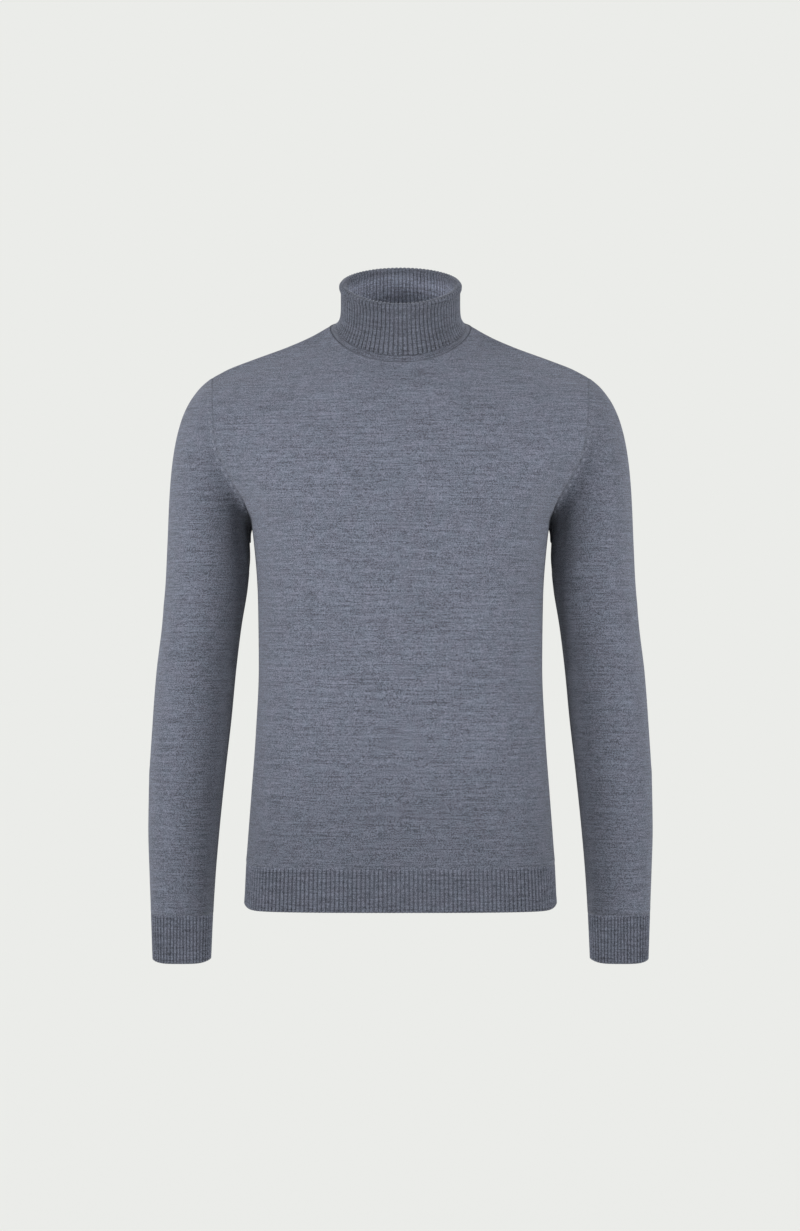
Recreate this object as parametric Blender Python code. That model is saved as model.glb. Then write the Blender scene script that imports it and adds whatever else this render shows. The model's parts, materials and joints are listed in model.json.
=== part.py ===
"""Roll-neck sweater in fine-gauge knit, filled out as worn, with no wearer inside.

Nine cloth pieces are modelled as thin walls: front and back panels, their two rib welts, two sleeves,
two rib cuffs and a doubled roll collar. One smooth garment form is worked out from the section tables,
every seam is a curve that both of its pieces share, and each piece is then a wall built on its own
stretch of the form. The frame is +Z up with the front facing -Y. The origin is the middle of the
neck base, level with the highest points of the shoulders, where the wearer holds the garment.
"""

import math

import bmesh
import bpy
import numpy as np
from mathutils.kdtree import KDTree

MM = 0.001

# Driving sizes of the garment, in millimetres.
PANEL_WALL = 1.6        # plain knit of the panels and sleeves
RIB_WALL = 2.0          # rib of the welts, cuffs and collar
SEAM_GAP = 0.44         # clearance at the grid's own points, which leaves 0.3 at the tightest place
SHOULDER_X = 220.0      # half the shoulder width, seam to seam
SHOULDER_Y = 4.0
SHOULDER_Z = -62.0
NECK_POINT_X = 83.0     # half the neck width at the highest point of the shoulder
NECK_POINT_Y = 8.0
NECK_FRONT_Y = -70.0
NECK_FRONT_Z = -50.0
NECK_BACK_Y = 70.0
NECK_BACK_Z = 17.0

# Number of grid steps: a whole panel is two shoulders and the neckline wide.
SHOULDER_STEPS = 5
NECK_STEPS = 12
PANEL_STEPS = 2 * SHOULDER_STEPS + NECK_STEPS

# The torso from the hem up, one row for each section, in millimetres and degrees. The edge is the
# side seam and, above the underarm, the armhole. The middle columns are the centre front and centre
# back. "turn" is how far each half-section has turned round by the time it meets its edge, "full" is
# the squareness of the section, and "follow" is its share of the top edge's own line.
TORSO_COLUMNS = (
    "name", "edge_x", "edge_z", "edge_front_y", "edge_back_y",
    "front_y", "front_z", "back_y", "back_z", "turn", "full", "follow",
)
TORSO = (
    ("hem",        182.0, -682.0,   0.0,  0.0, -102.0, -677.0, 104.0, -678.0, 90.0, 3.2, 0.00),
    ("rib_top",    179.6, -628.0,   0.0,  0.0, -103.0, -626.0, 105.0, -627.0, 90.0, 3.1, 0.00),
    ("hip",        174.6, -556.0,   0.0,  0.0, -101.0, -556.0, 103.0, -556.0, 90.0, 2.8, 0.00),
    ("low_waist",  169.0, -480.0,   0.0,  0.0,  -98.0, -480.0,  97.0, -480.0, 90.0, 2.6, 0.00),
    ("waist",      165.4, -400.0,   0.0,  0.0,  -99.0, -400.0,  94.0, -400.0, 90.0, 2.5, 0.00),
    ("ribs",       166.4, -320.0,   0.0,  0.0, -109.0, -322.0, 101.0, -320.0, 90.0, 2.5, 0.00),
    ("chest",      170.4, -262.0,   0.0,  0.0, -119.0, -268.0, 110.0, -262.0, 90.0, 2.5, 0.00),
    ("underarm",   173.6, -236.0,   0.0,  0.0, -122.0, -242.0, 113.0, -232.0, 90.0, 2.5, 0.00),
    ("arm_low",    179.5, -211.0, -42.0, 42.0, -122.5, -218.0, 115.5, -203.0, 72.0, 2.4, 0.01),
    ("arm_mid",    193.5, -184.0, -59.0, 60.0, -120.5, -190.0, 116.0, -169.0, 66.0, 2.3, 0.03),
    ("arm_high",   209.8, -148.0, -62.0, 66.0, -114.0, -158.0, 112.5, -129.0, 62.0, 2.2, 0.09),
    ("yoke",       216.0, -109.0, -51.0, 57.0, -103.0, -122.0, 104.0,  -84.0, 58.0, 2.1, 0.25),
    ("yoke_top",   218.5,  -80.0, -27.0, 33.0,  -87.5,  -85.0,  89.5,  -34.0, 55.0, 2.0, 0.58),
    ("shoulder",   SHOULDER_X, SHOULDER_Z, SHOULDER_Y, SHOULDER_Y,
     NECK_FRONT_Y, NECK_FRONT_Z, NECK_BACK_Y, NECK_BACK_Z, 50.0, 2.0, 1.00),
)
# Rows of the grid, in table rows: the welt, then the panel to the underarm, then the armhole.
WELT_LEVELS = (0.0, 0.5, 1.0)
SIDE_LEVELS = (1.0, 1.5, 2.0, 2.5, 3.0, 3.5, 4.0, 4.5, 5.0, 5.5, 6.0, 6.5, 7.0)
ARMHOLE_LEVELS = (7.0, 7.5, 8.0, 8.6, 9.3, 10.0, 10.8, 11.6, 12.4, 13.0)

# The line of the shoulder seam from the shoulder point to the neck point.
SHOULDER_COLUMNS = ("x", "y", "z")
SHOULDER_SEAM = (
    (SHOULDER_X, SHOULDER_Y, SHOULDER_Z),
    (202.0, 4.5, -52.0),
    (174.0, 5.0, -41.0),
    (132.0, 6.0, -25.5),
    (104.0, 7.0, -13.0),
    (NECK_POINT_X, NECK_POINT_Y, -1.0),
)

# The sleeve below its cap, one row for each ring, in millimetres. "inner" is the underarm line and
# "outer" the line that runs down from the shoulder, "mid_y" is the ring's centre front to back.
SLEEVE_COLUMNS = ("name", "inner_x", "inner_z", "outer_x", "outer_z", "mid_y", "depth", "full")
SLEEVE = (
    ("biceps",     176.4, -284.0, 272.4, -256.0,   1.0, 58.0, 2.15),
    ("upper_arm",  179.4, -311.0, 274.6, -302.0,   1.0, 56.0, 2.15),
    ("above",      186.4, -354.0, 279.4, -352.0,   0.0, 53.0, 2.15),
    ("elbow",      192.5, -405.0, 286.2, -408.0,  -2.0, 50.0, 2.15),
    ("below",      197.5, -460.0, 290.0, -463.0,  -6.0, 47.0, 2.15),
    ("forearm",    204.0, -520.0, 292.6, -522.0, -12.0, 43.0, 2.15),
    ("low_arm",    210.0, -582.0, 293.0, -582.0, -20.0, 38.0, 2.15),
    ("wrist",      214.6, -640.0, 290.9, -640.0, -27.0, 33.0, 2.2),
    ("cuff_top",   217.0, -684.0, 288.8, -684.0, -32.0, 29.5, 2.3),
    ("cuff_edge",  219.0, -739.5, 286.4, -739.5, -38.0, 27.0, 2.5),
)
CAP_STEPS = 6           # rings between the armhole and the biceps
SLEEVE_LEVELS = (0.0, 0.5, 1.0, 2.0, 3.0, 4.0, 5.0, 6.0, 7.0, 8.0)
CUFF_LEVELS = (8.0, 8.5, 9.0)
CAP_TANGENT = 0.86      # how strongly the cap leaves the armhole along the body's own line
BICEPS_TANGENT = 1.05   # how strongly it arrives down the sleeve
CUFF_CORNER_LIFT = 3.5  # how much higher a cuff's sides end than its front
HEM_CORNER_LIFT = 8.0   # how much higher the hem ends at the side seams than in the middle
HEM_CORNER_REACH = 5.0  # how far in from the side seam it comes down again
HEM_CORNER_LEVEL = 0.4  # the level below which the rib is drawn up

# The collar: a neck tube that leans forward, from the neckline up to a rolled fold, then turned down
# outside itself. Its rings are those of the outer face of the inner layer, the stand.
COLLAR_WALL = 2.4
COLLAR_BASE_Y = 1.0
COLLAR_BASE_Z = -15.0
COLLAR_TOP_Y = -23.0
COLLAR_TOP_Z = 45.6
COLLAR_HALF_WIDTH = 66.4
COLLAR_HALF_DEPTH = 63.0
COLLAR_TILT = 23.5      # degrees that the tube's rings lean forward
FRONT_DIP = 4.6         # how far the top of the collar sinks at the centre front
FLARE_SIDE = 6.0        # how quickly the tube opens out to the neckline at the sides
FLARE_MIDDLE = 2.4      # and at the front and back
LAYER_STEP = 2.9        # from the middle of the stand's wall to the middle of the turned layer's
TURN_DOWN_END = 0.095   # height of the turned-down edge, as a share of the collar's height
COLLAR_STEPS = 2 * NECK_STEPS
# The soft roll at the top: "below" is down from the top of the wall's middle line, "out" is away
# from the stand's middle line, in millimetres.
ROLL_COLUMNS = ("below", "out")
ROLL = (
    (11.0, 0.0),
    (7.2, -0.9),
    (3.9, -1.7),
    (1.1, -0.6),
    (0.2, 1.7),
    (1.1, 4.0),
    (3.9, 5.2),
    (7.2, 4.2),
    (11.0, LAYER_STEP),
)
STAND_LEVELS = (0.0, 0.06, 0.14, 0.26, 0.44, 0.64)
TURNED_LEVELS = (0.64, 0.44, 0.26, 0.16, TURN_DOWN_END)

SOFTENING = 3.0         # columns over which the neckline's corners even out below it

# The largest folds, as soft ridges (+) and troughs (-) between two ends. On the torso u is X and v
# is Z. On a sleeve u is the length round it from the underarm line, towards the front, and v is Z.
FOLD_COLUMNS = ("name", "side", "u0", "v0", "u1", "v1", "width", "height")
TORSO_FOLDS = (
    ("left_underarm",       -1,  150.0, -262.0,  196.0, -150.0, 13.0, -3.6),
    ("left_underarm_roll",  -1,  118.0, -262.0,  176.0, -146.0, 17.0,  2.4),
    ("right_underarm",      -1, -151.0, -264.0, -195.0, -152.0, 13.0, -3.8),
    ("right_underarm_roll", -1, -120.0, -266.0, -174.0, -148.0, 17.0,  2.2),
    ("left_blade",           1,  146.0, -262.0,  192.0, -140.0, 15.0, -3.4),
    ("left_blade_roll",      1,  112.0, -258.0,  168.0, -128.0, 18.0,  2.4),
    ("right_blade",          1, -148.0, -260.0, -193.0, -144.0, 14.0, -3.2),
    ("right_blade_roll",     1, -110.0, -262.0, -170.0, -130.0, 18.0,  2.6),
    ("small_of_back",        1,  -70.0, -452.0,   88.0, -444.0, 16.0, -2.4),
    ("low_back_roll",        1,  -96.0, -486.0,   64.0, -478.0, 18.0,  2.0),
)
SLEEVE_FOLDS = (
    ("front_break",   0,  20.0, -392.0, 100.0, -362.0, 11.0, -2.6),
    ("front_roll",    0,  10.0, -418.0,  96.0, -388.0, 12.0,  1.8),
    ("back_break",    0, -14.0, -300.0, -90.0, -262.0, 13.0, -2.4),
    ("forearm_break", 0,  12.0, -552.0,  72.0, -534.0, 10.0, -1.6),
    ("outer_break",   0, 128.0, -650.0, 176.0, -662.0,  9.0, -1.4),
)

KNIT_COLOUR = (0.165, 0.182, 0.232, 1.0)
RIB_COLOUR = (0.140, 0.155, 0.200, 1.0)


def table_column(table, columns, name):
    """One named column of a table, as an array."""
    at = columns.index(name)
    return np.array([row[at] for row in table], float)


def smooth(values, at):
    """A curve through values at 0, 1, 2, ..., read at the given places, which never overshoots them."""
    values = np.asarray(values, float)
    steps = np.diff(values, axis=0)
    before, after = steps[:-1], steps[1:]
    same_way = before * after > 0.0
    total = np.where(same_way, before + after, 1.0)
    slopes = np.zeros_like(values)
    slopes[1:-1] = np.where(same_way, 2.0 * before * after / total, 0.0)
    slopes[0] = steps[0]
    slopes[-1] = steps[-1]
    at = np.atleast_1d(np.asarray(at, float))
    i = np.clip(at.astype(int), 0, len(values) - 2)
    t = (at - i).reshape((-1,) + (1,) * (values.ndim - 1))
    return (
        (2 * t**3 - 3 * t**2 + 1) * values[i]
        + (3 * t**2 - 2 * t**3) * values[i + 1]
        + (t**3 - 2 * t**2 + t) * slopes[i]
        + (t**3 - t**2) * slopes[i + 1]
    )


def along_line(points, shares):
    """Points of a line at the given shares of its length."""
    along = np.concatenate([[0.0], np.cumsum(np.linalg.norm(np.diff(points, axis=0), axis=1))])
    at = np.asarray(shares) * along[-1]
    return np.stack([np.interp(at, along, points[:, k]) for k in range(3)], axis=1)


def half_section(section, side, shares):
    """Half a torso section, from one edge through the middle to the other. side is -1 front, 1 back."""
    front = side < 0
    edge_y = section["edge_front_y"] if front else section["edge_back_y"]
    middle_y = section["front_y"] if front else section["back_y"]
    middle_z = section["front_z"] if front else section["back_z"]
    turn = math.radians(section["turn"])
    power = 2.0 / section["full"]
    angle = np.linspace(-turn, turn, 401)
    across = np.sign(angle) * np.abs(np.sin(angle)) ** power / math.sin(turn) ** power
    rise = np.abs(np.cos(angle)) ** power
    end = abs(math.cos(turn)) ** power
    rise = (rise - end) / (1.0 - end)
    x = section["edge_x"] * across
    y = edge_y + (middle_y - edge_y) * rise
    z = section["edge_z"] + (middle_z - section["edge_z"]) * rise
    return along_line(np.stack([x, y, z], axis=1), shares)


def neckline(side, shares):
    """Half the neckline, from the right neck point (-X) to the left one."""
    angle = np.linspace(0.0, math.pi, 401)
    reach, drop = (NECK_FRONT_Y, NECK_FRONT_Z) if side < 0 else (NECK_BACK_Y, NECK_BACK_Z)
    x = -NECK_POINT_X * np.cos(angle)
    y = NECK_POINT_Y + (reach - NECK_POINT_Y) * np.sin(angle)
    z = -1.0 + (drop + 1.0) * np.sin(angle) ** 1.15
    return along_line(np.stack([x, y, z], axis=1), shares)


def top_edge(side, columns):
    """A panel's top edge: shoulder seam, neckline, shoulder seam. Columns count its grid steps."""
    seam = smooth(SHOULDER_SEAM, np.linspace(0, len(SHOULDER_SEAM) - 1, 61))
    into_neck = (columns - SHOULDER_STEPS) / NECK_STEPS
    right = along_line(seam, np.clip(columns / SHOULDER_STEPS, 0.0, 1.0)) * (-1.0, 1.0, 1.0)
    left = along_line(seam, np.clip((PANEL_STEPS - columns) / SHOULDER_STEPS, 0.0, 1.0))
    neck = neckline(side, np.clip(into_neck, 0.0, 1.0))
    line = np.where(into_neck[:, None] < 0.0, right, neck)
    return np.where(into_neck[:, None] > 1.0, left, line)


def softened(line, reach):
    """A line of offsets, evened out over reach of its columns on each side, with its ends kept."""
    columns = np.linspace(0.0, PANEL_STEPS, len(line))
    weight = np.exp(-(((columns[:, None] - columns[None, :]) / max(reach, 1e-3)) ** 2))
    soft = weight @ line / weight.sum(axis=1)[:, None]
    share = (columns / PANEL_STEPS)[:, None]
    return soft - (1.0 - share) * (soft[0] - line[0]) - share * (soft[-1] - line[-1])


def panel_rows(side, levels, columns):
    """The grid of a torso panel, one row of points for each level, in millimetres."""
    sizes = {
        name: smooth(table_column(TORSO, TORSO_COLUMNS, name), levels)
        for name in TORSO_COLUMNS[1:]
    }
    last = dict(zip(TORSO_COLUMNS, TORSO[-1]))
    dense = np.linspace(0.0, PANEL_STEPS, 10 * PANEL_STEPS + 1)
    own_line = top_edge(side, dense) - half_section(last, side, dense / PANEL_STEPS)
    rows = []
    for i in range(len(levels)):
        section = {name: values[i] for name, values in sizes.items()}
        row = half_section(section, side, columns / PANEL_STEPS)
        if section["follow"] > 0.0:
            line = softened(own_line, SOFTENING * (1.0 - section["follow"]))
            row += section["follow"] * np.stack([np.interp(columns, dense, c) for c in line.T], axis=1)
        rows.append(row)
    rows = np.array(rows)
    from_side = np.abs(rows[:, :1, 0]) - np.abs(rows[:, :, 0])
    near_hem = np.clip(1.0 - np.array(levels) / HEM_CORNER_LEVEL, 0.0, 1.0)
    rows[:, :, 2] += HEM_CORNER_LIFT * near_hem[:, None] * np.exp(-from_side / HEM_CORNER_REACH)
    return rows + torso_folds(rows, side)


def fold_depth(u, v, fold):
    """Height of one fold at places u, v. It runs from one end to the other and tapers at both."""
    start = np.array([fold["u0"], fold["v0"]])
    run = np.array([fold["u1"], fold["v1"]]) - start
    length = np.linalg.norm(run)
    run /= length
    share = ((u - start[0]) * run[0] + (v - start[1]) * run[1]) / length
    away = (u - start[0]) * run[1] - (v - start[1]) * run[0]
    taper = np.clip(share, 0.0, 1.0) * (1.0 - np.clip(share, 0.0, 1.0)) * 4.0
    return fold["height"] * np.sqrt(taper) * np.exp(-((away / fold["width"]) ** 2))


def torso_folds(rows, side):
    """How far the folds move each point of a panel outwards. They die out before the panel's edges."""
    x, z = rows[:, :, 0], rows[:, :, 2]
    height = np.zeros_like(x)
    for row in TORSO_FOLDS:
        fold = dict(zip(FOLD_COLUMNS, row))
        if fold["side"] == side:
            height += fold_depth(x, z, fold)
    edge = np.abs(rows[:, :1, 0]) - np.abs(x)
    height *= 1.0 - np.exp(-((edge / 12.0) ** 2))
    move = np.zeros_like(rows)
    move[:, :, 1] = side * height
    return move


def sleeve_ring(section, angle):
    """A ring of the sleeve on the +X side. Angle 0 is the underarm line and pi the outer line."""
    inner = np.array([section["inner_x"], section["mid_y"], section["inner_z"]])
    outer = np.array([section["outer_x"], section["mid_y"], section["outer_z"]])
    power = 2.0 / section["full"]
    across = -np.sign(np.cos(angle)) * np.abs(np.cos(angle)) ** power
    deep = -np.sign(np.sin(angle)) * np.abs(np.sin(angle)) ** power
    ring = (inner + outer) / 2 + across[:, None] * (outer - inner) / 2
    ring[:, 1] += deep * section["depth"]
    return ring


def armhole(front, back):
    """The armhole seam on the +X side, from the underarm up the front, over and down the back.

    Returns its points, the direction in which the body's rows run out through each, and the angle
    of each round the sleeve.
    """
    loop = np.concatenate([front[:, -1], back[-2:0:-1, -1]])
    run = np.concatenate([front[:, -1] - front[:, -2], (back[:, -1] - back[:, -2])[-2:0:-1]])
    run /= np.linalg.norm(run, axis=1)[:, None]
    closed = np.concatenate([loop, loop[:1]])
    along = np.concatenate([[0.0], np.cumsum(np.linalg.norm(np.diff(closed, axis=0), axis=1))])
    top = len(front) - 1
    up = math.pi * along[: top + 1] / along[top]
    down = math.pi * (1.0 + (along[top + 1 : -1] - along[top]) / (along[-1] - along[top]))
    return loop, run, np.concatenate([up, down])


def sleeve_rows(front, back, levels):
    """The grid of the sleeve on the +X side, from the armhole to the last of the levels."""
    loop, run, angle = armhole(front, back)
    sizes = {
        name: smooth(table_column(SLEEVE, SLEEVE_COLUMNS, name), levels)
        for name in SLEEVE_COLUMNS[1:]
    }
    rings = np.array([
        sleeve_ring({name: values[i] for name, values in sizes.items()}, angle)
        for i in range(len(levels))
    ])
    down = rings[1] - rings[0]
    down /= np.linalg.norm(down, axis=1)[:, None]
    reach = np.linalg.norm(rings[0] - loop, axis=1)[:, None]
    height = ((1.0 - np.cos(angle)) / 2.0)[:, None]
    body = height ** 0.6
    leave = body * run + (1.0 - body) * down
    leave /= np.linalg.norm(leave, axis=1)[:, None]
    cap = []
    for s in np.linspace(0.0, 1.0, CAP_STEPS + 1)[:-1]:
        cap.append(
            (2 * s**3 - 3 * s**2 + 1) * loop
            + (3 * s**2 - 2 * s**3) * rings[0]
            + (s**3 - 2 * s**2 + s) * CAP_TANGENT * reach * leave
            + (s**3 - s**2) * BICEPS_TANGENT * reach * down
        )
    rows = np.concatenate([cap, rings])
    return rows + sleeve_folds(rows), angle


def sleeve_folds(rows):
    """How far the folds move each point of a sleeve outwards."""
    closed = np.concatenate([rows, rows[:, :1]], axis=1)
    along = np.cumsum(np.linalg.norm(np.diff(closed, axis=1), axis=2), axis=1)
    girth = along[:, -1:]
    along = np.concatenate([np.zeros_like(girth), along[:, :-1]], axis=1)
    height = np.zeros_like(along)
    for row in SLEEVE_FOLDS:
        fold = dict(zip(FOLD_COLUMNS, row))
        for turn in (-1, 0, 1):
            height += fold_depth(along + turn * girth, rows[:, :, 2], fold)
    outward = rows - rows.mean(axis=1, keepdims=True)
    outward[:, :, 2] = 0.0
    outward /= np.linalg.norm(outward, axis=2, keepdims=True)
    return outward * height[:, :, None]


def collar_tube(height, angle):
    """Points of the neck tube, whose foot opens out to meet the neckline.

    height is 0 at the neckline and 1 at the top. Angle 0 is the neck point on the -X side, and a
    quarter turn is the centre front.
    """
    tilt = math.radians(COLLAR_TILT)
    across = -COLLAR_HALF_WIDTH * np.cos(angle)
    deep = -COLLAR_HALF_DEPTH * np.sin(angle)

    def ring(share):
        y = COLLAR_BASE_Y + share * (COLLAR_TOP_Y - COLLAR_BASE_Y)
        z = COLLAR_BASE_Z + share * (COLLAR_TOP_Z - COLLAR_BASE_Z)
        z = z - share * FRONT_DIP * np.clip(np.sin(angle), 0.0, 1.0) ** 2
        return np.stack([across, y + deep * math.cos(tilt), z + deep * math.sin(tilt)], axis=1)

    shares = np.linspace(0.0, 1.0, len(angle) // 2 + 1)
    foot = np.concatenate([neckline(-1, shares)[:-1], neckline(1, shares)[:0:-1]])
    side = np.cos(angle) ** 2
    power = FLARE_MIDDLE + (FLARE_SIDE - FLARE_MIDDLE) * side
    flare = (1.0 - min(height, 1.0)) ** power
    return ring(height) + flare[:, None] * (foot - ring(0.0))


def collar_frame(height, angle):
    """Points of the tube with its outward and upward directions, and its height in millimetres."""
    here = collar_tube(height, angle)
    step = 0.004
    rise = collar_tube(height + step, angle) - collar_tube(height - step, angle)
    up = rise / np.linalg.norm(rise, axis=1)[:, None]
    side = np.roll(here, -1, axis=0) - np.roll(here, 1, axis=0)
    out = np.cross(side, up)
    out /= np.linalg.norm(out, axis=1)[:, None]
    return here, out, up


def collar_foot():
    """The first strip of the collar's outer face, which meets the panels at the neckline."""
    angle = np.linspace(0.0, 2.0 * math.pi, COLLAR_STEPS, endpoint=False)
    return np.array([collar_tube(height, angle) for height in STAND_LEVELS[:2]])


def collar_rows(normals):
    """The collar's closed section as rings of points.

    The middle line of the wall goes up the stand, over the roll and down the turned layer. The rings
    follow it on its outer side all the way, and come back on its inner side.
    """
    angle = np.linspace(0.0, 2.0 * math.pi, COLLAR_STEPS, endpoint=False)
    middle = []
    half_wall = COLLAR_WALL / 2
    for height in STAND_LEVELS:
        here, out, _ = collar_frame(height, angle)
        middle.append(here - out * half_wall)
    top, out, up = collar_frame(1.0, angle)
    for below, aside in ROLL:
        middle.append(top - up * below + out * (aside - half_wall))
    for height in TURNED_LEVELS:
        here, out, _ = collar_frame(height, angle)
        middle.append(here + out * (LAYER_STEP - half_wall))
    middle = np.array(middle)
    along = np.gradient(middle, axis=0)
    along /= np.linalg.norm(along, axis=2)[:, :, None]
    round_way = np.roll(middle, -1, axis=1) - np.roll(middle, 1, axis=1)
    face = np.cross(round_way, along)
    face /= np.linalg.norm(face, axis=2)[:, :, None]
    near = middle - face * half_wall
    far = middle + face * half_wall
    foot = collar_foot()
    mitre = np.array([normals(point * MM) for point in foot[0]])
    rise = foot[1] - foot[0]
    line = np.roll(foot[0], -1, axis=0) - np.roll(foot[0], 1, axis=0)
    across = np.cross(line, mitre)
    across /= np.linalg.norm(across, axis=1)[:, None]
    across *= np.sign((rise * across).sum(axis=1))[:, None]
    far[0] = foot[0] + across * SEAM_GAP / 2
    near[0] = far[0] - mitre * COLLAR_WALL
    return np.concatenate([near, far[::-1]])


def grid_shell(rows, closed, ring=False):
    """A bmesh sheet of quads over a grid of points.

    closed joins each row's end to its start, and ring joins the last row to the first.
    """
    rows = np.concatenate([rows, rows[:, :1]], axis=1) if closed else rows
    rows = np.concatenate([rows, rows[:1]]) if ring else rows
    up, across = len(rows) - 1, len(rows[0]) - 1
    shell = bmesh.new()
    bmesh.ops.create_grid(shell, x_segments=across, y_segments=up, size=0.5)
    for vertex in shell.verts:
        i = round((vertex.co.y + 0.5) * up)
        j = round((vertex.co.x + 0.5) * across)
        vertex.co = rows[i][j] * MM
    bmesh.ops.remove_doubles(shell, verts=shell.verts, dist=1e-6)
    return shell


def welded_normals(shells):
    """A tree of the points of some sheets joined as one, and the outward direction at each."""
    form = bmesh.new()
    for shell in shells:
        mesh = bpy.data.meshes.new("form")
        shell.to_mesh(mesh)
        form.from_mesh(mesh)
        bpy.data.meshes.remove(mesh)
    bmesh.ops.remove_doubles(form, verts=form.verts, dist=1e-6)
    form.normal_update()
    places = KDTree(len(form.verts))
    outward = []
    for i, vertex in enumerate(form.verts):
        places.insert(vertex.co, i)
        outward.append(vertex.normal.copy())
    places.balance()
    form.free()
    return places, outward


def seam_normals(groups):
    """Gives the outward direction at any point of the form.

    Where two groups of pieces meet it lies midway between theirs, so both walls end on one plane.
    """
    trees = [welded_normals(group) for group in groups]

    def outward(point):
        total = None
        for places, directions in trees:
            _, i, away = places.find(point)
            if away < 1e-5:
                total = directions[i] if total is None else total + directions[i]
        return total.normalized()

    return outward


def drawn_back(shell, normals, distance):
    """Moves the open edges of a sheet away from its seams, each square to the seam's own wall.

    That wall holds the seam line and the shared normal, so two pieces keep the same clearance where
    the cloth runs on flat and where it folds sharply under the arm.
    """
    moves = {}
    for vertex in shell.verts:
        if not vertex.is_boundary:
            continue
        normal = normals(vertex.co)
        ways = []
        for edge in vertex.link_edges:
            if edge.is_boundary:
                along = edge.other_vert(vertex).co - vertex.co
                inward = edge.link_faces[0].calc_center_median() - vertex.co
                way = along.cross(normal).normalized()
                ways.append(way if way.dot(inward) > 0.0 else -way)
        a, b = ways
        moves[vertex] = (a + b) * (distance / max(1.0 + a.dot(b), 0.4))
    for vertex, move in moves.items():
        vertex.co += move


def wall(shell, normals, thickness):
    """Turns a sheet into a closed wall: a second sheet inside it, and a rim along every open edge."""
    outer_verts = list(shell.verts)
    inside = [normals(vertex.co) * (thickness * MM) for vertex in outer_verts]
    drawn_back(shell, normals, SEAM_GAP / 2 * MM)
    outer_rim = [e for e in shell.edges if e.is_boundary]
    copy = bmesh.ops.duplicate(shell, geom=list(shell.verts) + list(shell.edges) + list(shell.faces))
    twin = copy["vert_map"]
    for vertex, step in zip(outer_verts, inside):
        twin[vertex].co = vertex.co - step
    inner_faces = [g for g in copy["geom"] if isinstance(g, bmesh.types.BMFace)]
    bmesh.ops.reverse_faces(shell, faces=inner_faces)
    for edge in outer_rim:
        a, b = edge.verts
        loop = edge.link_loops[0]
        if loop.vert is not a:
            a, b = b, a
        shell.faces.new((b, a, twin[a], twin[b]))
    return shell


def material(name, colour, roughness):
    made = bpy.data.materials.new(name)
    made.use_nodes = True
    shader = made.node_tree.nodes["Principled BSDF"]
    shader.inputs["Base Color"].default_value = colour
    shader.inputs["Roughness"].default_value = roughness
    shader.inputs["Metallic"].default_value = 0.0
    return made


def add_object(name, shell, finish, parent):
    bmesh.ops.recalc_face_normals(shell, faces=shell.faces)
    mesh = bpy.data.meshes.new(name)
    shell.to_mesh(mesh)
    shell.free()
    mesh.shade_smooth()
    mesh.set_sharp_from_angle(angle=math.radians(50))
    mesh.materials.append(finish)
    made = bpy.data.objects.new(name, mesh)
    bpy.context.scene.collection.objects.link(made)
    made.parent = parent
    return made


def mirrored(rows):
    return rows * (-1.0, 1.0, 1.0)


def main():
    for old in list(bpy.data.objects):
        bpy.data.objects.remove(old)
    plain = material("plain_knit", KNIT_COLOUR, 0.9)
    rib = material("rib_knit", RIB_COLOUR, 0.92)
    sweater = bpy.data.objects.new("sweater", None)
    bpy.context.scene.collection.objects.link(sweater)

    levels = WELT_LEVELS[:-1] + SIDE_LEVELS[:-1] + ARMHOLE_LEVELS
    columns = np.arange(PANEL_STEPS + 1.0)
    front = panel_rows(-1, levels, columns)
    back = panel_rows(1, levels, columns)
    welt = len(WELT_LEVELS) - 1
    underarm = welt + len(SIDE_LEVELS) - 1
    sleeve, angle = sleeve_rows(front[underarm:], back[underarm:], SLEEVE_LEVELS + CUFF_LEVELS[1:])
    side_lift = CUFF_CORNER_LIFT * np.cos(angle) ** 4
    sleeve[-1, :, 2] += side_lift
    sleeve[-2, :, 2] += side_lift / 2
    cuff = len(sleeve) - len(CUFF_LEVELS)

    sheets = {
        "front_panel": (front[welt:], False, PANEL_WALL, plain),
        "back_panel": (back[welt:, ::-1], False, PANEL_WALL, plain),
        "front_welt": (front[: welt + 1], False, RIB_WALL, rib),
        "back_welt": (back[: welt + 1, ::-1], False, RIB_WALL, rib),
        "sleeve_left": (sleeve[: cuff + 1, ::-1], True, PANEL_WALL, plain),
        "sleeve_right": (mirrored(sleeve[: cuff + 1]), True, PANEL_WALL, plain),
        "cuff_left": (sleeve[cuff:, ::-1], True, RIB_WALL, rib),
        "cuff_right": (mirrored(sleeve[cuff:]), True, RIB_WALL, rib),
    }
    shells = {name: grid_shell(rows, closed) for name, (rows, closed, _, _) in sheets.items()}
    normals = seam_normals([
        [shells[name] for name in ("front_panel", "back_panel", "front_welt", "back_welt")],
        [shells[name] for name in ("sleeve_left", "cuff_left")],
        [shells[name] for name in ("sleeve_right", "cuff_right")],
        [grid_shell(collar_foot(), True)],
    ])
    for name, (_, _, thickness, finish) in sheets.items():
        add_object(name, wall(shells[name], normals, thickness), finish, sweater)
    add_object("collar", grid_shell(collar_rows(normals), True, ring=True), rib, sweater)


main()
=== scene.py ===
# %% [markdown]
# # A roll-neck sweater in fine-gauge knit
#
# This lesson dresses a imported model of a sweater. The model already says how large every piece is
# and where it sits, so the script starts by loading it. The sweater is shown filled out as if worn,
# with nobody inside. Everything in it is cloth, so every piece is a thin sheet on a smooth form.

# %% Load the frame
import json
import math

import bmesh
import bpy
import numpy as np
from mathutils import Matrix, Vector

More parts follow.
